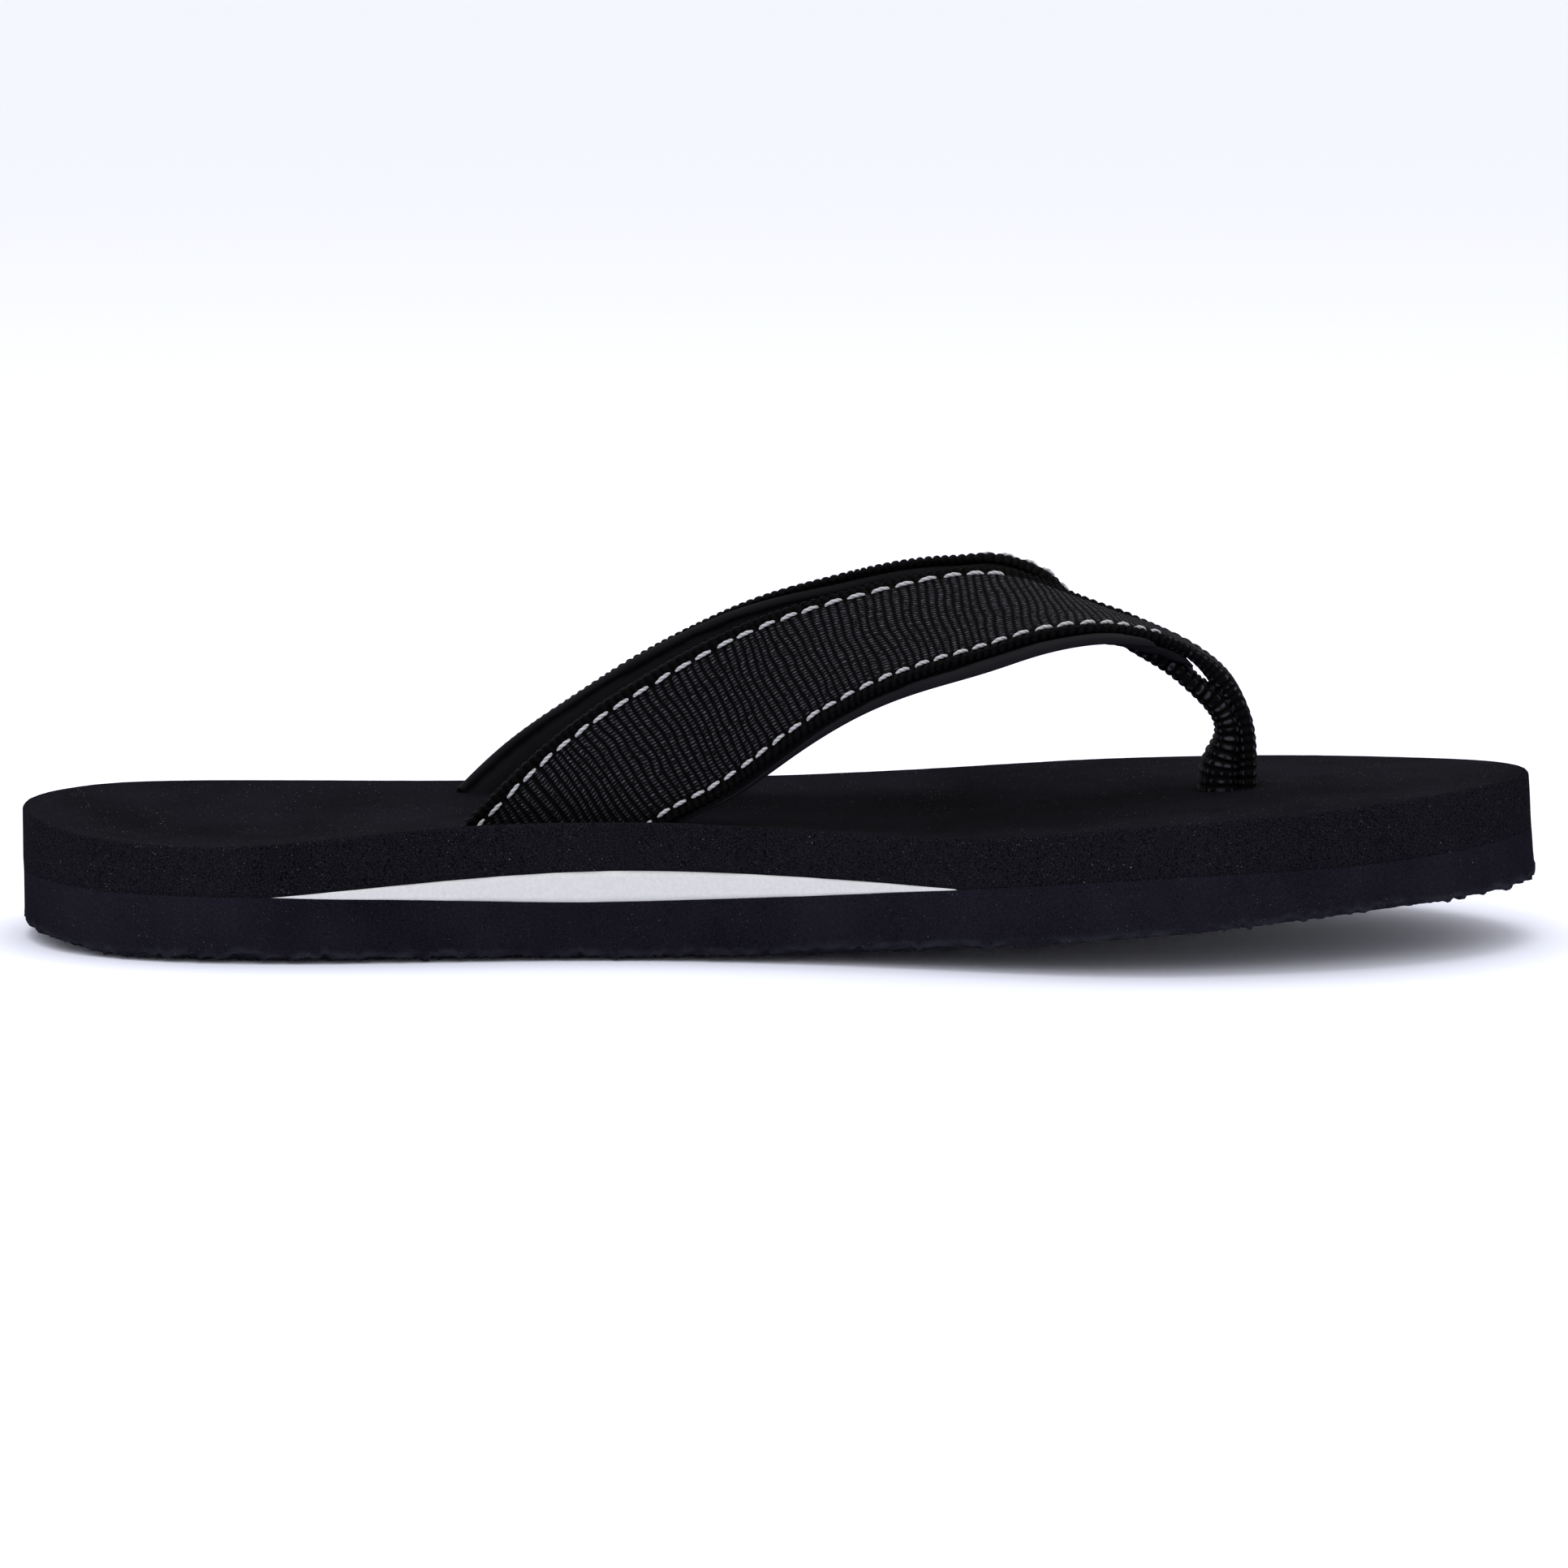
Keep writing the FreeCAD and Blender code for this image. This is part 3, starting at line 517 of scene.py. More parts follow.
# shallow troughs round the straps and the post, deepest at their middle line
def seatDepth(x, y):
    parts = footbedParts
    depth = np.zeros_like(x)
    for start, end in parts["seats"]:
        start, way = np.array(start), np.array(end) - np.array(start)
        share = np.clip(((x - start[0]) * way[0] + (y - start[1]) * way[1]) / (way @ way), 0, 1)
        away = np.hypot(x - start[0] - share * way[0], y - start[1] - share * way[1])
        depth += parts["seatDepth"] * (1 - ease(away, 0.6, parts["seatHalfWidth"]))
    postX, postY = parts["postSeat"]
    halfX, halfY = parts["postSeatHalf"]
    away = np.hypot((x - postX) / halfX, (y - postY) / halfY)
    return depth + parts["postSeatDepth"] * (1 - ease(away, 0.7, 1.25))


# footbed: a loop of columns, medial wall up, rim, top, rim, lateral wall down, underside back
def footbedGrid():
    parts = footbedParts
    radius = parts["rimRadius"]
    sides = []
    for (rim, inward, run), seed in zip(rimSides(soleShape["footbedSections"]), (3, 4)):
        x, y = rim.T
        low, high = jointAbove(x, y), footSurface(x, y) - radius
        columns = []
        for share in np.linspace(0, 1, parts["wallColumns"]):
            z = low + (high - low) * share
            swell = parts["swell"] * uneven(run, share * 9, parts["swellSpacing"], seed) * ease(share, 0, 0.15)
            columns.append(wallColumn(rim, inward, leanAt(x, z) + swell, z))
        nick = parts["nick"] * uneven(run, 0, parts["nickSpacing"], seed + 10)
        for angle in np.linspace(0, math.pi / 2, parts["filletColumns"] + 1)[1:]:
            inset = leanAt(x, high) + radius * (1 - math.cos(angle)) + nick * math.sin(angle)
            columns.append(wallColumn(rim, inward, inset, high + radius * math.sin(angle)))
        sides.append(columns)
    first, last = sides[0][-1], sides[1][-1]
    top = []
    for share in np.linspace(0, 1, parts["topColumns"] + 2)[1:-1]:
        at = first * (1 - share) + last * share
        at[:, 2] = footSurface(at[:, 0], at[:, 1]) - seatDepth(at[:, 0], at[:, 1])
        top.append(at)
    under = []
    first, last = sides[0][0], sides[1][0]
    for share in np.linspace(1, 0, parts["underColumns"] + 2)[1:-1]:
        at = first * (1 - share) + last * share
        at[:, 2] = jointAbove(at[:, 0], at[:, 1])
        under.append(at)
    columns = sides[0] + top + sides[1][::-1] + under
    wall = parts["wallColumns"] + parts["filletColumns"]
    zones = np.ones(len(columns), int)
    zones[wall - 2:wall + parts["topColumns"] + 1] = 0
    return np.stack(columns, 1), zones


footbedPoints, footbedZones = footbedGrid()
footbed = gridPiece("footbedFoam", footbedPoints, flip=True, zones=footbedZones)
finishPiece(footbed, [skinFoam, cutFoam], ["footbed"])


outsoleParts = {
    "wallColumns": 12, "lipHeights": (2.8, 2.2, 1.7, 1.2, 0.8, 0.4), "underColumns": 46, "topColumns": 4,
    "curl": 0.95,                         # the worn edge stands this far off the floor
    # each kind of tear: spacing, sharpness, how much of the rim it spares, height
    "bites": (6.5, 3, 0.2, 0.4), "nicks": (1.7, 5, 0.9, 0.7), "flaps": (1.5, 5, 1.2, 0.65),
    "nickGroups": 14, "fringeSpacing": 0.8, "fringe": 0.6,
    "swell": 0.2, "rag": 0.9, "flare": 0.35, "toeBulge": 0.1, "bulgeBetween": (120, 139),
    "scuffHeight": 1.8, "rimWear": (0.5, 0.3, 0.3), "soleWear": 0.35,
    "treadFirst": -122, "treadPitch": 8, "treadWidth": 2.4, "treadDepth": 1.5, "treadHalfLength": 26,
    "treadSoftness": 0.3, "treadEnd": 125,
}


# one kind of tear along the rim's run: 0 where the rim is spared, up to the tear's height
def tearKind(run, kind, seed):
    spacing, sharpness, spared, height = outsoleParts[kind]
    return height * np.clip(uneven(run, 0, spacing, seed) * sharpness - spared, 0, 1)


# height of the torn lower edge: long bites, short nicks in groups, hanging flaps and a fine fringe
def tearsAlong(run, seed):
    parts = outsoleParts
    grouped = uneven(run, 0, parts["nickGroups"], seed + 7) > -0.2
    raised = tearKind(run, "bites", seed) + tearKind(run, "nicks", seed + 1) * grouped
    fringe = parts["fringe"] * uneven(run, 0, parts["fringeSpacing"], seed + 3)
    return parts["curl"] + raised - tearKind(run, "flaps", seed + 2) + fringe


# cross grooves under the middle of the sole
def treadDepth(x, y):
    parts = outsoleParts
    pitch, half, soft = parts["treadPitch"], parts["treadWidth"] / 2, parts["treadSoftness"]
    offset = (x - parts["treadFirst"] + pitch / 2) % pitch - pitch / 2
    inRow = 1 - ease(np.abs(offset), half - soft, half + soft)
    inside = 1 - ease(np.abs(y), parts["treadHalfLength"] - 0.8, parts["treadHalfLength"])
    inside = inside * (np.abs(x) < parts["treadEnd"])
    return parts["treadDepth"] * inRow * inside


# outsole: a loop of columns, underside, lateral wall up, top, medial wall down
def outsoleGrid():
    parts = outsoleParts
    sides, worn = [], []
    for (rim, inward, run), seed in zip(rimSides(soleShape["outsoleSections"]), (21, 31)):
        x, y = rim.T
        floor, high = underside(x), jointBelow(x, y)
        tear = tearsAlong(run, seed)
        bulge = parts["toeBulge"] * ease(x, *parts["bulgeBetween"])
        columns, wear = [], []
        for share in np.linspace(1, 0, parts["wallColumns"], endpoint=False):
            z = floor + parts["lipHeights"][0] + (high - floor - parts["lipHeights"][0]) * share
            swell = parts["swell"] * uneven(run, share * 8, 6.0, seed + 3) * ease(1 - share, 0, 0.15)
            columns.append(wallColumn(rim, inward, leanAt(x, z) + swell - bulge * (1 - share), z))
            wear.append(0 * x)
        for height in parts["lipHeights"]:
            near = 1 - height / parts["lipHeights"][0]
            rag = parts["rag"] * uneven(run, height * 3, 1.4, seed + 4) * near + parts["flare"] * near ** 3
            z = floor + height + (tear - 0.2 * height) * near ** 1.3
            columns.append(wallColumn(rim, inward, rag - bulge, z))
            wear.append(ease(parts["scuffHeight"] - height + tear, 0, 1.2)
                        * np.clip(0.5 + 1.2 * uneven(run, height * 2, 2.4, seed + 5), 0, 1))
        edge = 0.8 + 0.7 * uneven(run, 5, 1.1, seed + 6)
        columns.append(wallColumn(rim, inward, edge - bulge, floor + tear))
        columns.append(wallColumn(rim, inward, edge + 1.6, floor + 0.6 * parts["curl"]))
        columns.append(wallColumn(rim, inward, edge + 5.0, floor + 0.02))
        wear += [0 * x + amount for amount in parts["rimWear"]]
        sides.append(columns)
        worn.append(wear)
    under, underWear = [], []
    first, last = sides[0][-1], sides[1][-1]
    for share in np.linspace(0, 1, parts["underColumns"] + 2)[1:-1]:
        at = first * (1 - share) + last * share
        at[:, 2] = underside(at[:, 0]) + treadDepth(at[:, 0], at[:, 1])
        under.append(at)
        underWear.append(parts["soleWear"] * (treadDepth(at[:, 0], at[:, 1]) < 0.2))
    top, first, last = [], sides[0][0], sides[1][0]
    for share in np.linspace(1, 0, parts["topColumns"] + 2)[1:-1]:
        at = first * (1 - share) + last * share
        at[:, 2] = jointBelow(at[:, 0], at[:, 1])
        top.append(at)
    columns = sides[0] + under + sides[1][::-1] + top
    wear = worn[0] + underWear + worn[1][::-1] + [0 * run] * parts["topColumns"]
    return np.stack(columns, 1), np.stack(wear, 1)


outsolePoints, outsoleWear = outsoleGrid()
outsolePoints[..., 2] = np.maximum(outsolePoints[..., 2], 0.0)
outsole = gridPiece("outsoleFoam", outsolePoints, values={"wear": outsoleWear})
finishPiece(outsole, [sheetFoam], ["outsole"])


wedgeParts = {"sections": 260, "wallColumns": 6, "innerColumns": 8, "gap": 0.03, "inset": 0.05, "swell": 0.12}


# wedge: a lens of columns, wall up, top surface in, bottom surface back
def wedgeGrid():
    parts = wedgeParts
    x = np.linspace(wedgeStart, wedgeEnd, parts["sections"])
    edge = np.interp(x, medialRim[:, 0], medialRim[:, 1])
    top, bottom = jointAbove(x, edge + 0.001), jointBelow(x, edge + 0.001)
    columns = []
    for share in np.linspace(0, 1, parts["wallColumns"]):
        swell = parts["swell"] * uneven(x, share * 4, 5.0, 51)
        columns.append(np.column_stack([x, edge + parts["inset"] + swell, bottom + (top - bottom) * share]))
    inner = np.linspace(0, 1, parts["innerColumns"] + 1)[1:]
    going = (jointAbove, inner, -parts["gap"])
    coming = (jointBelow, inner[:-1][::-1], parts["gap"])
    for surface, steps, gap in (going, coming):
        for step in steps:
            y = edge + soleShape["wedgeReach"] * step
            columns.append(np.column_stack([x, y, surface(x, y) + gap * (step < 1)]))
    return np.stack(columns, 1)


wedge = gridPiece("archWedgeFoam", wedgeGrid(), flip=True)
finishPiece(wedge, [wedgeFoam], ["arch_wedge"])


# ---- straps

strapShape = {
    # each station: upper edge, lower edge, thickness; from inside the slot to inside the toe hole
    "medial": [
        ((-61.5, -25.4, 19.5), (-46.5, -30, 6), 1.6),
        ((-46.9, -23.4, 34.4), (-30.8, -28.8, 13.5), 1.6),
        ((-38.1, -21, 41.7), (-22.7, -29, 21.7), 1.6),
        ((-23.4, -17, 50.9), (-9.3, -26.7, 28.7), 1.6),
        ((-8.7, -14, 58.4), (2.6, -28.5, 37.3), 1.6),
        ((6.1, -11.5, 63.3), (15, -31.2, 45.5), 1.6),
        ((21, -9.5, 66.8), (26.8, -32.5, 50.4), 1.6),
        ((35.9, -7, 68.7), (39.3, -32.3, 54.2), 1.6),
        ((43.4, -6, 67.8), (47.3, -31.6, 56.8), 1.6),
        ((50.5, -5.7, 64.9), (57.4, -28.0, 58.3), 1.6),
        ((58.5, -5.0, 61.4), (65.8, -20.8, 57.4), 1.8),
        ((67.5, -3.2, 57.9), (72.3, -13.9, 55.5), 2.2),
        ((77.2, -1.7, 52.6), (78.4, -11.4, 51.4), 3.0),
        ((81.0, -1.9, 48.8), (81.4, -11.1, 48.4), 4.0),
        ((84.1, -1.9, 44.5), (84.1, -11.1, 44.5), 3.4),
        ((85.8, -1.9, 40.1), (85.8, -11.1, 40.1), 3.2),
        ((86.4, -1.8, 33.7), (86.4, -11.2, 33.7), 3.3),
        ((86.4, -1.5, 25.0), (86.4, -11.5, 25.0), 3.6),
    ],
    "lateral": [
        ((-65.5, 28.3, 18.3), (-50.5, 30.3, 5.5), 1.6),
        ((-52.4, 28, 31.2), (-36, 30.2, 9.5), 1.6),
        ((-39.8, 26, 40.5), (-24, 30.4, 18), 1.6),
        ((-27.4, 23, 48.8), (-12.5, 29.6, 26.3), 1.6),
        ((-15.1, 19, 55.7), (-2.4, 28.6, 35), 1.6),
        ((-2.8, 14, 61.3), (8.4, 28.2, 42.3), 1.6),
        ((9.3, 9, 65.1), (17.8, 26.8, 47.8), 1.6),
        ((21.2, 4, 68.3), (27.5, 25, 52), 1.6),
        ((33.1, -1, 69.9), (37.5, 22.3, 55.4), 1.6),
        ((43.4, -4.6, 69.0), (46.5, 19.3, 57.6), 1.6),
        ((50.5, -5.6, 65.0), (56.5, 15, 56.6), 1.6),
        ((57.5, -7.0, 59.6), (64.3, 8.8, 54.8), 2.2),
        ((65.8, -9.0, 55.0), (70.6, 1.8, 52.2), 3.9),
        ((72.6, -10.6, 50.6), (75.2, -0.6, 49.1), 3.5),
        ((76.8, -11.4, 47.2), (77.4, -1.4, 46.7), 3.6),
        ((80.6, -11.2, 44.1), (80.6, -1.8, 44.1), 4.9),
        ((82.5, -11.1, 40.6), (82.5, -1.9, 40.6), 4.8),
        ((82.7, -11.1, 37.1), (82.7, -1.9, 37.1), 5.2),
        ((81.7, -11.2, 33.2), (81.7, -1.8, 33.2), 7.2),
        ((81.3, -11.4, 29.1), (81.3, -1.6, 29.1), 8.0),
        ((81.3, -11.4, 24.0), (81.3, -1.6, 24.0), 8.2),
    ],
    "turn": {"medial": 1, "lateral": -1},   # which way the outer face looks
    # how far the lining shows below the webbing: distance along the strap, mm
    "lip": {"medial": [(0, 0), (30, 0.2), (50, 1.0), (75, 1.5), (95, 2.5), (113, 3.1), (128, 2.6), (139, 0)],
            "lateral": [(0, 0)]},
    # the far strap's upper edge rolls over where the straps cross
    "roll": {"medial": 0.0, "lateral": 1.6}, "rollFrom": 108, "rollTo": 134,
    "ribPitch": 1.53, "ribRows": 8, "ribDepth": 0.5, "ribWander": 0.9, "selvedgeDepth": 1.7,
    "faceColumns": 44, "edgeColumns": 7, "backColumns": 8,
    "stitchInset": 2.5, "stitchSink": 0.3, "sinkHalfWidth": 0.5,
    "bead": 0.4, "beadInset": 0.9, "beadHalfWidth": 0.7,
    "wanderSpacing": 8.0, "rippleSpacing": 3.2, "ripple": 0.35,
    "broadBetween": (11, 15),             # widths over which the post's narrow ribbon becomes the broad strap
    "paintedBaseShade": 0.84, "paintedBaseShadeBetween": (22, 34),    # painted shade at the strap's foot: share of the shine left near the footbed, and the heights it fades over
    "crown": 0.5, "crownBetween": (12, 22), "rollInset": 3.1, "rollHalfWidth": 2.6,
}


# a strap's edges, width, thickness and frame at equal steps of its middle line
def strapTable(name):
    stations = strapShape[name]
    upper, lower = (np.array([s[i] for s in stations], float) for i in (0, 1))
    thickness = np.array([s[2] for s in stations])
    knots = chordKnots((upper + lower) / 2)
    fine = splineThrough(knots, np.column_stack([upper, lower, thickness]))(np.linspace(0, knots[-1], 5000))
    run = chordKnots((fine[:, :3] + fine[:, 3:6]) / 2)
    rows = int(run[-1] / strapShape["ribPitch"] * strapShape["ribRows"])
    along = np.linspace(0, run[-1], rows)
    table = np.column_stack([np.interp(along, run, column) for column in fine.T])
    upper, lower, thickness = table[:, :3], table[:, 3:6], table[:, 6]
    width = np.linalg.norm(upper - lower, axis=1)
    across = (upper - lower) / width[:, None]
    forward = np.gradient((upper + lower) / 2, axis=0)
    forward = unit(forward - across * np.sum(forward * across, 1, keepdims=True))
    outward = np.cross(forward, across) * strapShape["turn"][name]
    lipAt, lip = np.array(strapShape["lip"][name], float).T
    rolled = ease(along, strapShape["rollFrom"], strapShape["rollFrom"] + 8) \
        * (1 - ease(along, strapShape["rollTo"] - 8, strapShape["rollTo"]))
    return {"along": along, "lower": lower, "width": width, "thickness": thickness,
            "across": across, "forward": forward, "outward": outward,
            "lip": np.interp(along, lipAt, lip), "roll": strapShape["roll"][name] * rolled}


# the strap's gentle crown, and the roll near its upper edge
def crownAt(table, c):
    width, shape = table["width"], strapShape
    crown = shape["crown"] * (1 - (2 * c / width - 1) ** 2) * ease(width, *shape["crownBetween"])
    return crown + table["roll"] * np.exp(-((width - shape["rollInset"] - c) / shape["rollHalfWidth"]) ** 2)


# round-topped ribs with sharp grooves: sqrt(1 - t^2) over each pitch, 1 on a crest; they wander a little
def ribHeight(along, across, selvedge, seed):
    shape = strapShape
    wander = shape["ribWander"] * uneven(along, across, shape["wanderSpacing"], seed)
    wander = wander + shape["ripple"] * uneven(along, across, shape["rippleSpacing"], seed + 1)
    phase = along / shape["ribPitch"] + wander + 0.5 * selvedge
    t = 2 * (phase % 1) - 1
    return np.sqrt(np.maximum(1 - 0.96 * t * t, 0))


# webbing: a flat loop with rounded edges carried along the strap, raised by its ribs, sunk at its stitch rows
def webbingPiece(name, table):
    shape = strapShape
    face = np.linspace(0, 1, shape["faceColumns"])
    back = np.linspace(1, 0, shape["backColumns"])
    turn = np.linspace(0, math.pi, shape["edgeColumns"] + 2)[1:-1]
    share = np.concatenate([face, 0 * turn + 1, back, 0 * turn])
    sideways = np.concatenate([0 * face, np.sin(turn), 0 * back, -np.sin(turn)])
    out = np.concatenate([0 * face + 1, np.cos(turn), 0 * back - 1, -np.cos(turn)])
    at = {key: values[:, None] for key, values in table.items()}
    radius, width, lip = at["thickness"] / 2, at["width"], at["lip"]
    c = lip + radius + share * (width - lip - 2 * radius) + radius * sideways
    o = radius * out
    along = at["along"] + 0 * c
    away = np.minimum(c - lip, width - c)              # distance from the nearer edge
    broad = ease(width, *shape["broadBetween"])
    outer = out > 0.5
    selvedge = np.clip(1 - away / shape["stitchInset"], 0, 1) * broad
    height = ribHeight(along, c, selvedge, 61 if name == "medial" else 64)
    lift = (height - 1) * shape["ribDepth"] * (1 + (shape["selvedgeDepth"] - 1) * ease(selvedge, 0.05, 0.3))
    fromRow = (away - shape["stitchInset"]) / shape["sinkHalfWidth"]
    sunk = shape["stitchSink"] * np.exp(-fromRow ** 2) * broad * outer
    lift = lift - sunk
    fromBead = (away - shape["beadInset"]) / shape["beadHalfWidth"]
    bead = shape["bead"] * np.exp(-fromBead ** 2) * broad * outer
    o = o + (lift + bead) * out + crownAt(at, c)
    c = c + lift * sideways
    points = at["lower"] + at["across"] * c[..., None] + at["outward"] * o[..., None]
    uv = np.stack([withEnds(along), withEnds(c)], -1)
    # painted light share, stored as ribHeight: crests take painted glints and grooves painted shade, darker in
    # the sunk stitch rows, along the selvedge and on the narrow post
    paintedRibLight = height * np.exp(-2 * sunk) * (1 - 0.25 * broad * ease(selvedge, 0, 0.3)) * (0.92 + 0.08 * broad)
    # painted shade: less shine low down, where the strap meets the footbed
    paintedRibLight = paintedRibLight * (shape["paintedBaseShade"] + (1 - shape["paintedBaseShade"]) * ease(points[..., 2], *shape["paintedBaseShadeBetween"]))
    piece = gridPiece(name + "StrapWebbing", closedEnds(points), flip=shape["turn"][name] < 0, uv=uv,
                      values={"ribHeight": withEnds(paintedRibLight)})
    finishPiece(piece, [webbingCloth], [name + "_strap_webbing"])


# a strap's table read at other distances along it
def tableAt(table, along):
    found = {}
    for key, values in table.items():
        rows = values.reshape(len(values), -1)
        read = np.stack([np.interp(along, table["along"], column) for column in rows.T], -1)
        found[key] = read if values.ndim > 1 else read[..., 0]
    return found


liningShape = {
    "columns": 46, "rowStep": 0.5, "edgeRadius": 0.9,
    "grooveWidth": 0.45, "grooveDepth": 0.9, "stitchPitch": 3.9,
    "gap": 0.25, "pinch": 0.2, "puff": 0.35, "puffSpacing": 11.0, "seamDrift": 0.5, "seamSpacing": 4.5,
    "slack": 0.3,                         # how far it stays inside the webbing where it doesn't show below it
    # first and last distance along the strap, flap and pad thickness, groove's distance from the edge
    "medial": {"ends": (6, 149), "flap": 1.5, "pad": 2.6, "grooveAt": 3.0},
    "lateral": {"ends": (6, 127), "flap": 1.3, "pad": 1.9, "grooveAt": 1.9},
    # how far its upper edge stays below the webbing's, along the strap
    "inset": [(0, -0.45), (66, -0.35), (88, 0.7), (200, 0.9)],
}


# lining: flat against the webbing; its free side is padded between two grooves, pinched at each stitch
def liningPiece(name, table):
    shape, own = liningShape, liningShape[name]
    start, end = own["ends"]
    along = np.arange(start, end, shape["rowStep"])
    at = {key: values[:, None] for key, values in tableAt(table, along).items()}
    along = along[:, None]
    share = (1 - np.cos(np.linspace(0, math.pi, shape["columns"]))) / 2
    insetAt, inset = np.array(shape["inset"], float).T
    low = ease(at["lip"], 1, 0) * shape["slack"]
    width = at["width"] - np.interp(along, insetAt, inset) - low
    c = low + share[None] * (width - low)
    away = np.minimum(c - low, width - c)
    closing = ease(end - along, 0, 6) * 0.6 + 0.4
    thick = own["flap"] + (own["pad"] - own["flap"]) * ease(away, own["grooveAt"], own["grooveAt"] + 3)
    pinch = 1 - shape["pinch"] + shape["pinch"] * np.cos(2 * math.pi * along / shape["stitchPitch"])
    seam = own["grooveAt"] + shape["seamDrift"] * uneven(along, 0, shape["seamSpacing"], 71)
    groove = shape["grooveDepth"] * np.exp(-((away - seam) / shape["grooveWidth"]) ** 2) * pinch
    rounding = np.sqrt(np.clip(1 - (1 - np.minimum(away / shape["edgeRadius"], 1)) ** 2, 0, 1))
    puff = shape["puff"] * uneven(along, c, shape["puffSpacing"], 72) * ease(away, 4, 8)
    thick = np.maximum(thick - groove + puff, 0.25) * rounding * closing
    top = crownAt(at, c) - at["thickness"] / 2 - shape["gap"]
    # where it shows below the webbing it fills the webbing's thickness too
    top = top + (at["thickness"] / 2 + shape["gap"]) * ease(at["lip"] - c, 0.2, 0.6) * rounding
    c = np.concatenate([c, c[:, -2:0:-1]], 1)
    o = np.concatenate([top, (top - thick)[:, -2:0:-1]], 1)
    points = at["lower"] + at["across"] * c[..., None] + at["outward"] * o[..., None]
    uv = np.stack([withEnds(along + 0 * c), withEnds(c)], -1)
    piece = gridPiece(name + "StrapLining", closedEnds(points), flip=strapShape["turn"][name] < 0, uv=uv)
    finishPiece(piece, [liningCloth], [name + "_strap_lining"])


stitchShape = {
    "gap": 0.7, "radius": 0.4, "slant": 0.07, "slantDrift": 0.07, "twists": 3,
    "startDrift": 0.2, "sunk": 0.75, "arch": 0.78,
    "alongRows": 22, "aroundColumns": 10,
    "rows": {                              # first and last distance along the strap, pitch
        ("medial", "upper"): (5.5, 111, 4.1), ("medial", "lower"): (22, 137, 3.8),
        ("lateral", "upper"): (5.5, 132, 4.1), ("lateral", "lower"): (22, 147, 3.8),
    },
}


# stitches: each a two-ply thread that arches out of the cloth and dives back, its two lobes turning along it
def stitchPiece(name, side, table):
    shape = stitchShape
    first, last, pitch = shape["rows"][(name, side)]
    length = pitch - shape["gap"]
    rng = np.random.default_rng(81 if side == "upper" else 82)
    starts = np.arange(first, last, pitch)[:, None]
    drift, tilt = (rng.uniform(-1, 1, starts.shape) for _ in range(2))
    q = np.linspace(0, 1, shape["alongRows"])[None]
    at = tableAt(table, starts + shape["startDrift"] * drift + q * length)
    inset = strapShape["stitchInset"]
    edge = at["width"] - inset if side == "upper" else at["lip"] + inset
    slant = (shape["slant"] + shape["slantDrift"] * tilt) * strapShape["turn"][name]
    c = edge + (q - 0.5) * length * slant
    arch = np.sin(math.pi * q) ** 0.35
    lift = at["thickness"] / 2 + crownAt(at, c) - shape["sunk"] + shape["arch"] * arch + 0.06 * tilt
    centre = at["lower"] + at["across"] * c[..., None] + at["outward"] * lift[..., None]
    sideways = unit(at["across"] - at["forward"] * slant[..., None])
    angle = np.linspace(0, 2 * math.pi, shape["aroundColumns"], endpoint=False)
    lobe = np.abs(np.cos(angle[None, None] - math.pi * shape["twists"] * q[..., None] - 3 * tilt[..., None]))
    radius = shape["radius"] * (0.74 + 0.26 * lobe) * (arch ** 0.9)[..., None]
    points = centre[:, :, None] + sideways[:, :, None] * (radius * np.cos(angle))[..., None] \
        + at["outward"][:, :, None] * (radius * np.sin(angle))[..., None]
    # plyHeight drives the painted shade between the plies
    piece = gridPiece(f"{name}{side.capitalize()}Stitching", points, flip=strapShape["turn"][name] > 0,
                      values={"plyHeight": lobe ** 0.7})
    finishPiece(piece, [greyThread], [f"{name}_{side}_stitching"])


for strapName in ("medial", "lateral"):
    strap = strapTable(strapName)
    print(strapName, "strap runs", round(strap["along"][-1], 1), "mm")
    webbingPiece(strapName, strap)
    liningPiece(strapName, strap)
    stitchPiece(strapName, "upper", strap)
    stitchPiece(strapName, "lower", strap)


# ---- floor, light and camera

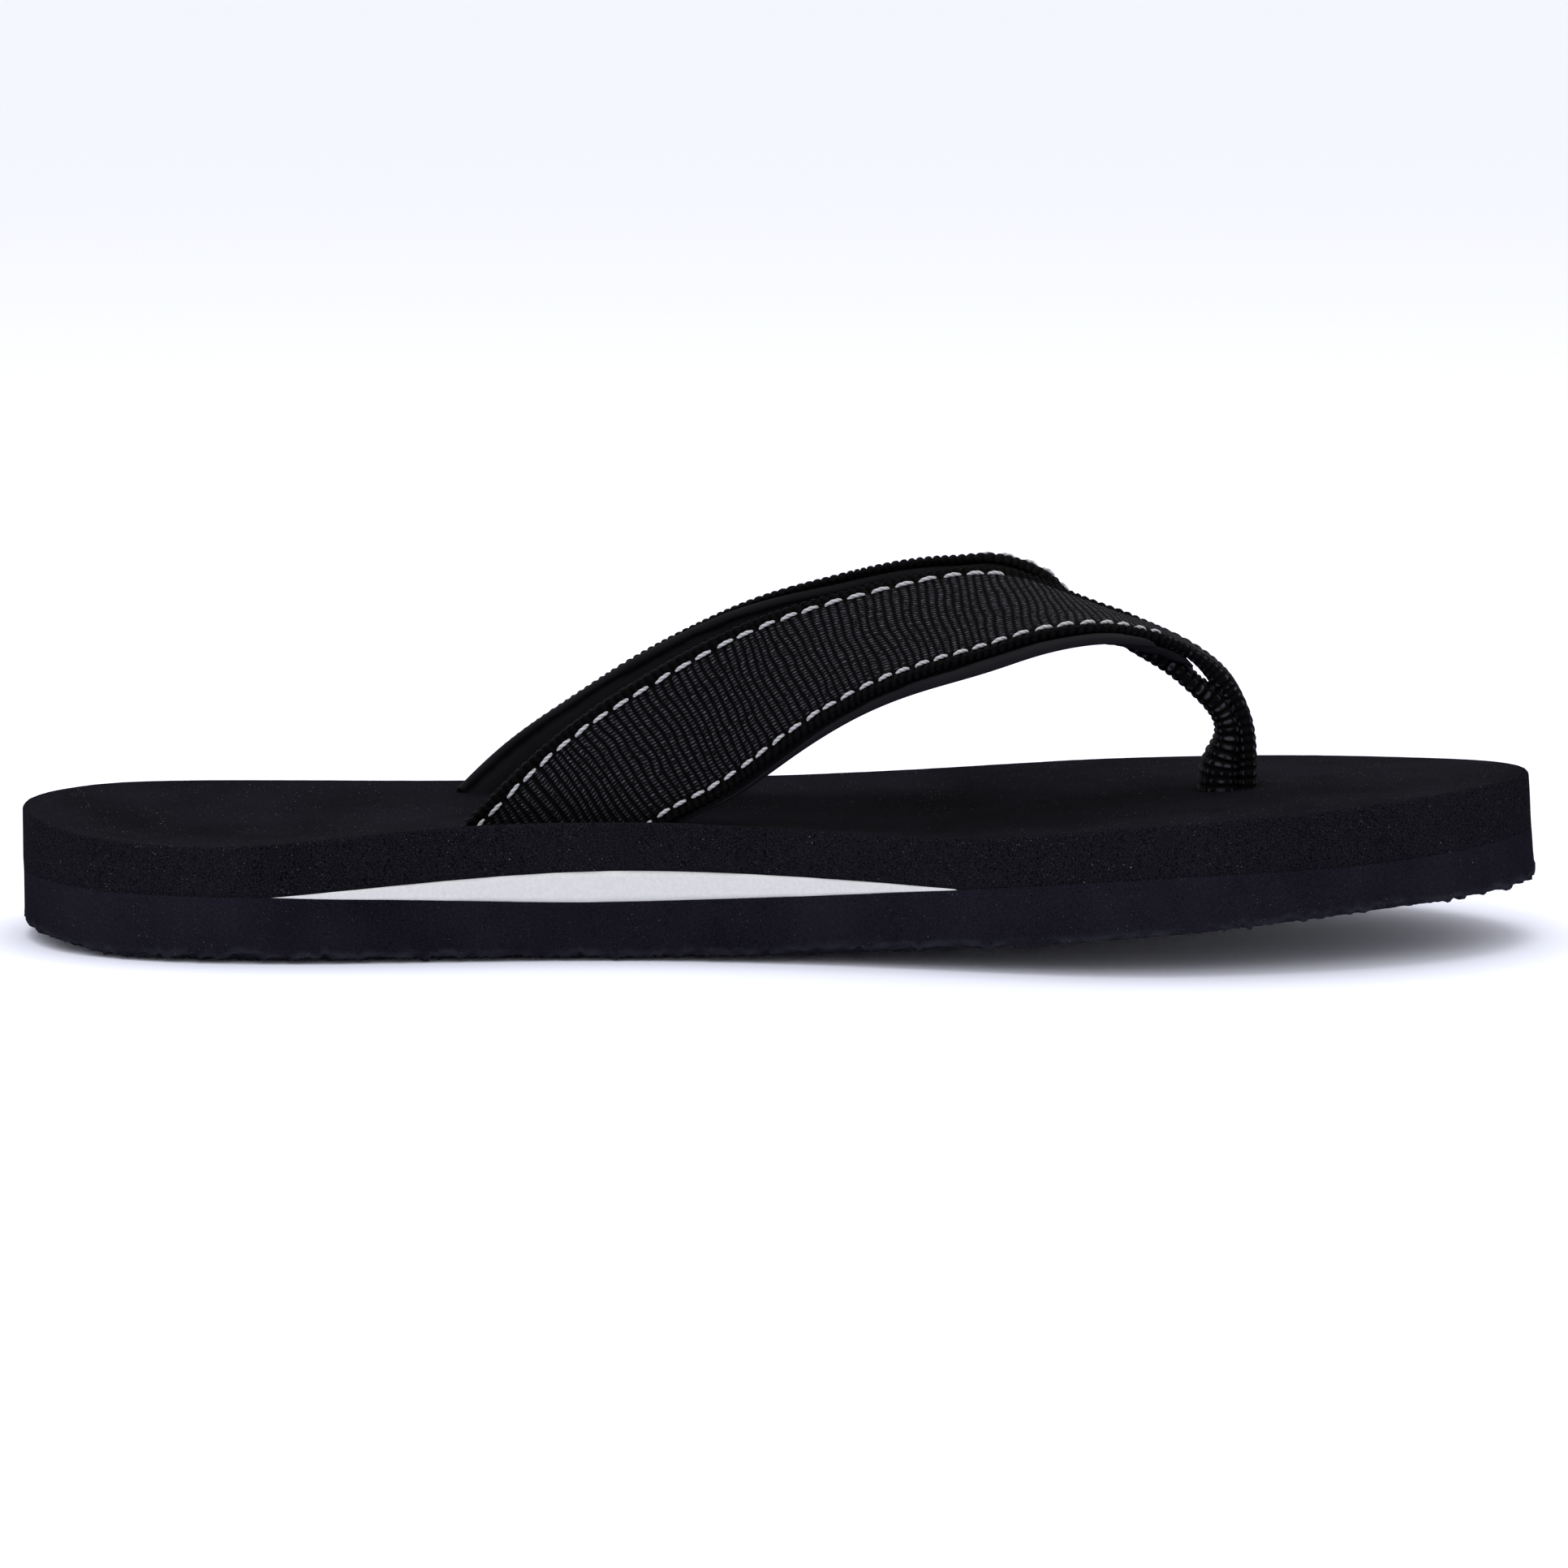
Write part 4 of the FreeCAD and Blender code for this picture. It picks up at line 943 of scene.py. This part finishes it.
studio = {
    "floorSize": 80.0, "floorColour": "#eef0ff",
    "skyStrength": 1.06,
    "lights": [                            # name, place, size, watts
        ("overheadPanel", (0.0, 0.1, 1.3), 1.2, 6.5),
        ("frontPanel", (-0.3, -1.5, 1.1), 0.8, 3.5),
    ],
    "lightTarget": (0.0, 0.0, 0.03),
    "camera": (0.0011, -1.0885, 0.1866), "cameraTilt": 81.7, "lens": 136.16, "sensor": 36.0,
}


# a pale paper floor, an even sky, two soft panels and the camera
def buildStudio():
    scene = bpy.context.scene
    half = studio["floorSize"] / 2
    mesh = bpy.data.meshes.new("studioFloor")
    corners = [(-half, -half, 0), (half, -half, 0), (half, half, 0), (-half, half, 0)]
    mesh.from_pydata(corners, [], [(0, 1, 2, 3)])
    floor = bpy.data.objects.new("studioFloor", mesh)
    scene.collection.objects.link(floor)
    material, tree, shader = newMaterial("paperFloor")
    shader.inputs["Base Color"].default_value = linear(studio["floorColour"])
    shader.inputs["Roughness"].default_value = 0.9
    shader.inputs["Specular IOR Level"].default_value = 0.1
    mesh.materials.append(material)
    world = bpy.data.worlds.new("studioWorld")
    world.use_nodes = True
    background = world.node_tree.nodes["Background"]
    background.inputs["Color"].default_value = (1, 1, 1, 1)
    background.inputs["Strength"].default_value = studio["skyStrength"]
    scene.world = world
    for name, place, size, watts in studio["lights"]:
        light = bpy.data.lights.new(name, "AREA")
        light.shape, light.size, light.energy = "DISK", size, watts
        lamp = bpy.data.objects.new(name, light)
        lamp.location = place
        aim = Vector(studio["lightTarget"]) - Vector(place)
        lamp.rotation_euler = aim.to_track_quat("-Z", "Y").to_euler()
        scene.collection.objects.link(lamp)
    camera = bpy.data.objects.new("camera", bpy.data.cameras.new("camera"))
    camera.location = studio["camera"]
    camera.rotation_euler = (math.radians(studio["cameraTilt"]), 0, 0)
    camera.data.lens, camera.data.sensor_width = studio["lens"], studio["sensor"]
    scene.collection.objects.link(camera)
    scene.camera = camera
    scene.view_settings.view_transform = "Standard"


buildStudio()
print("studio made")
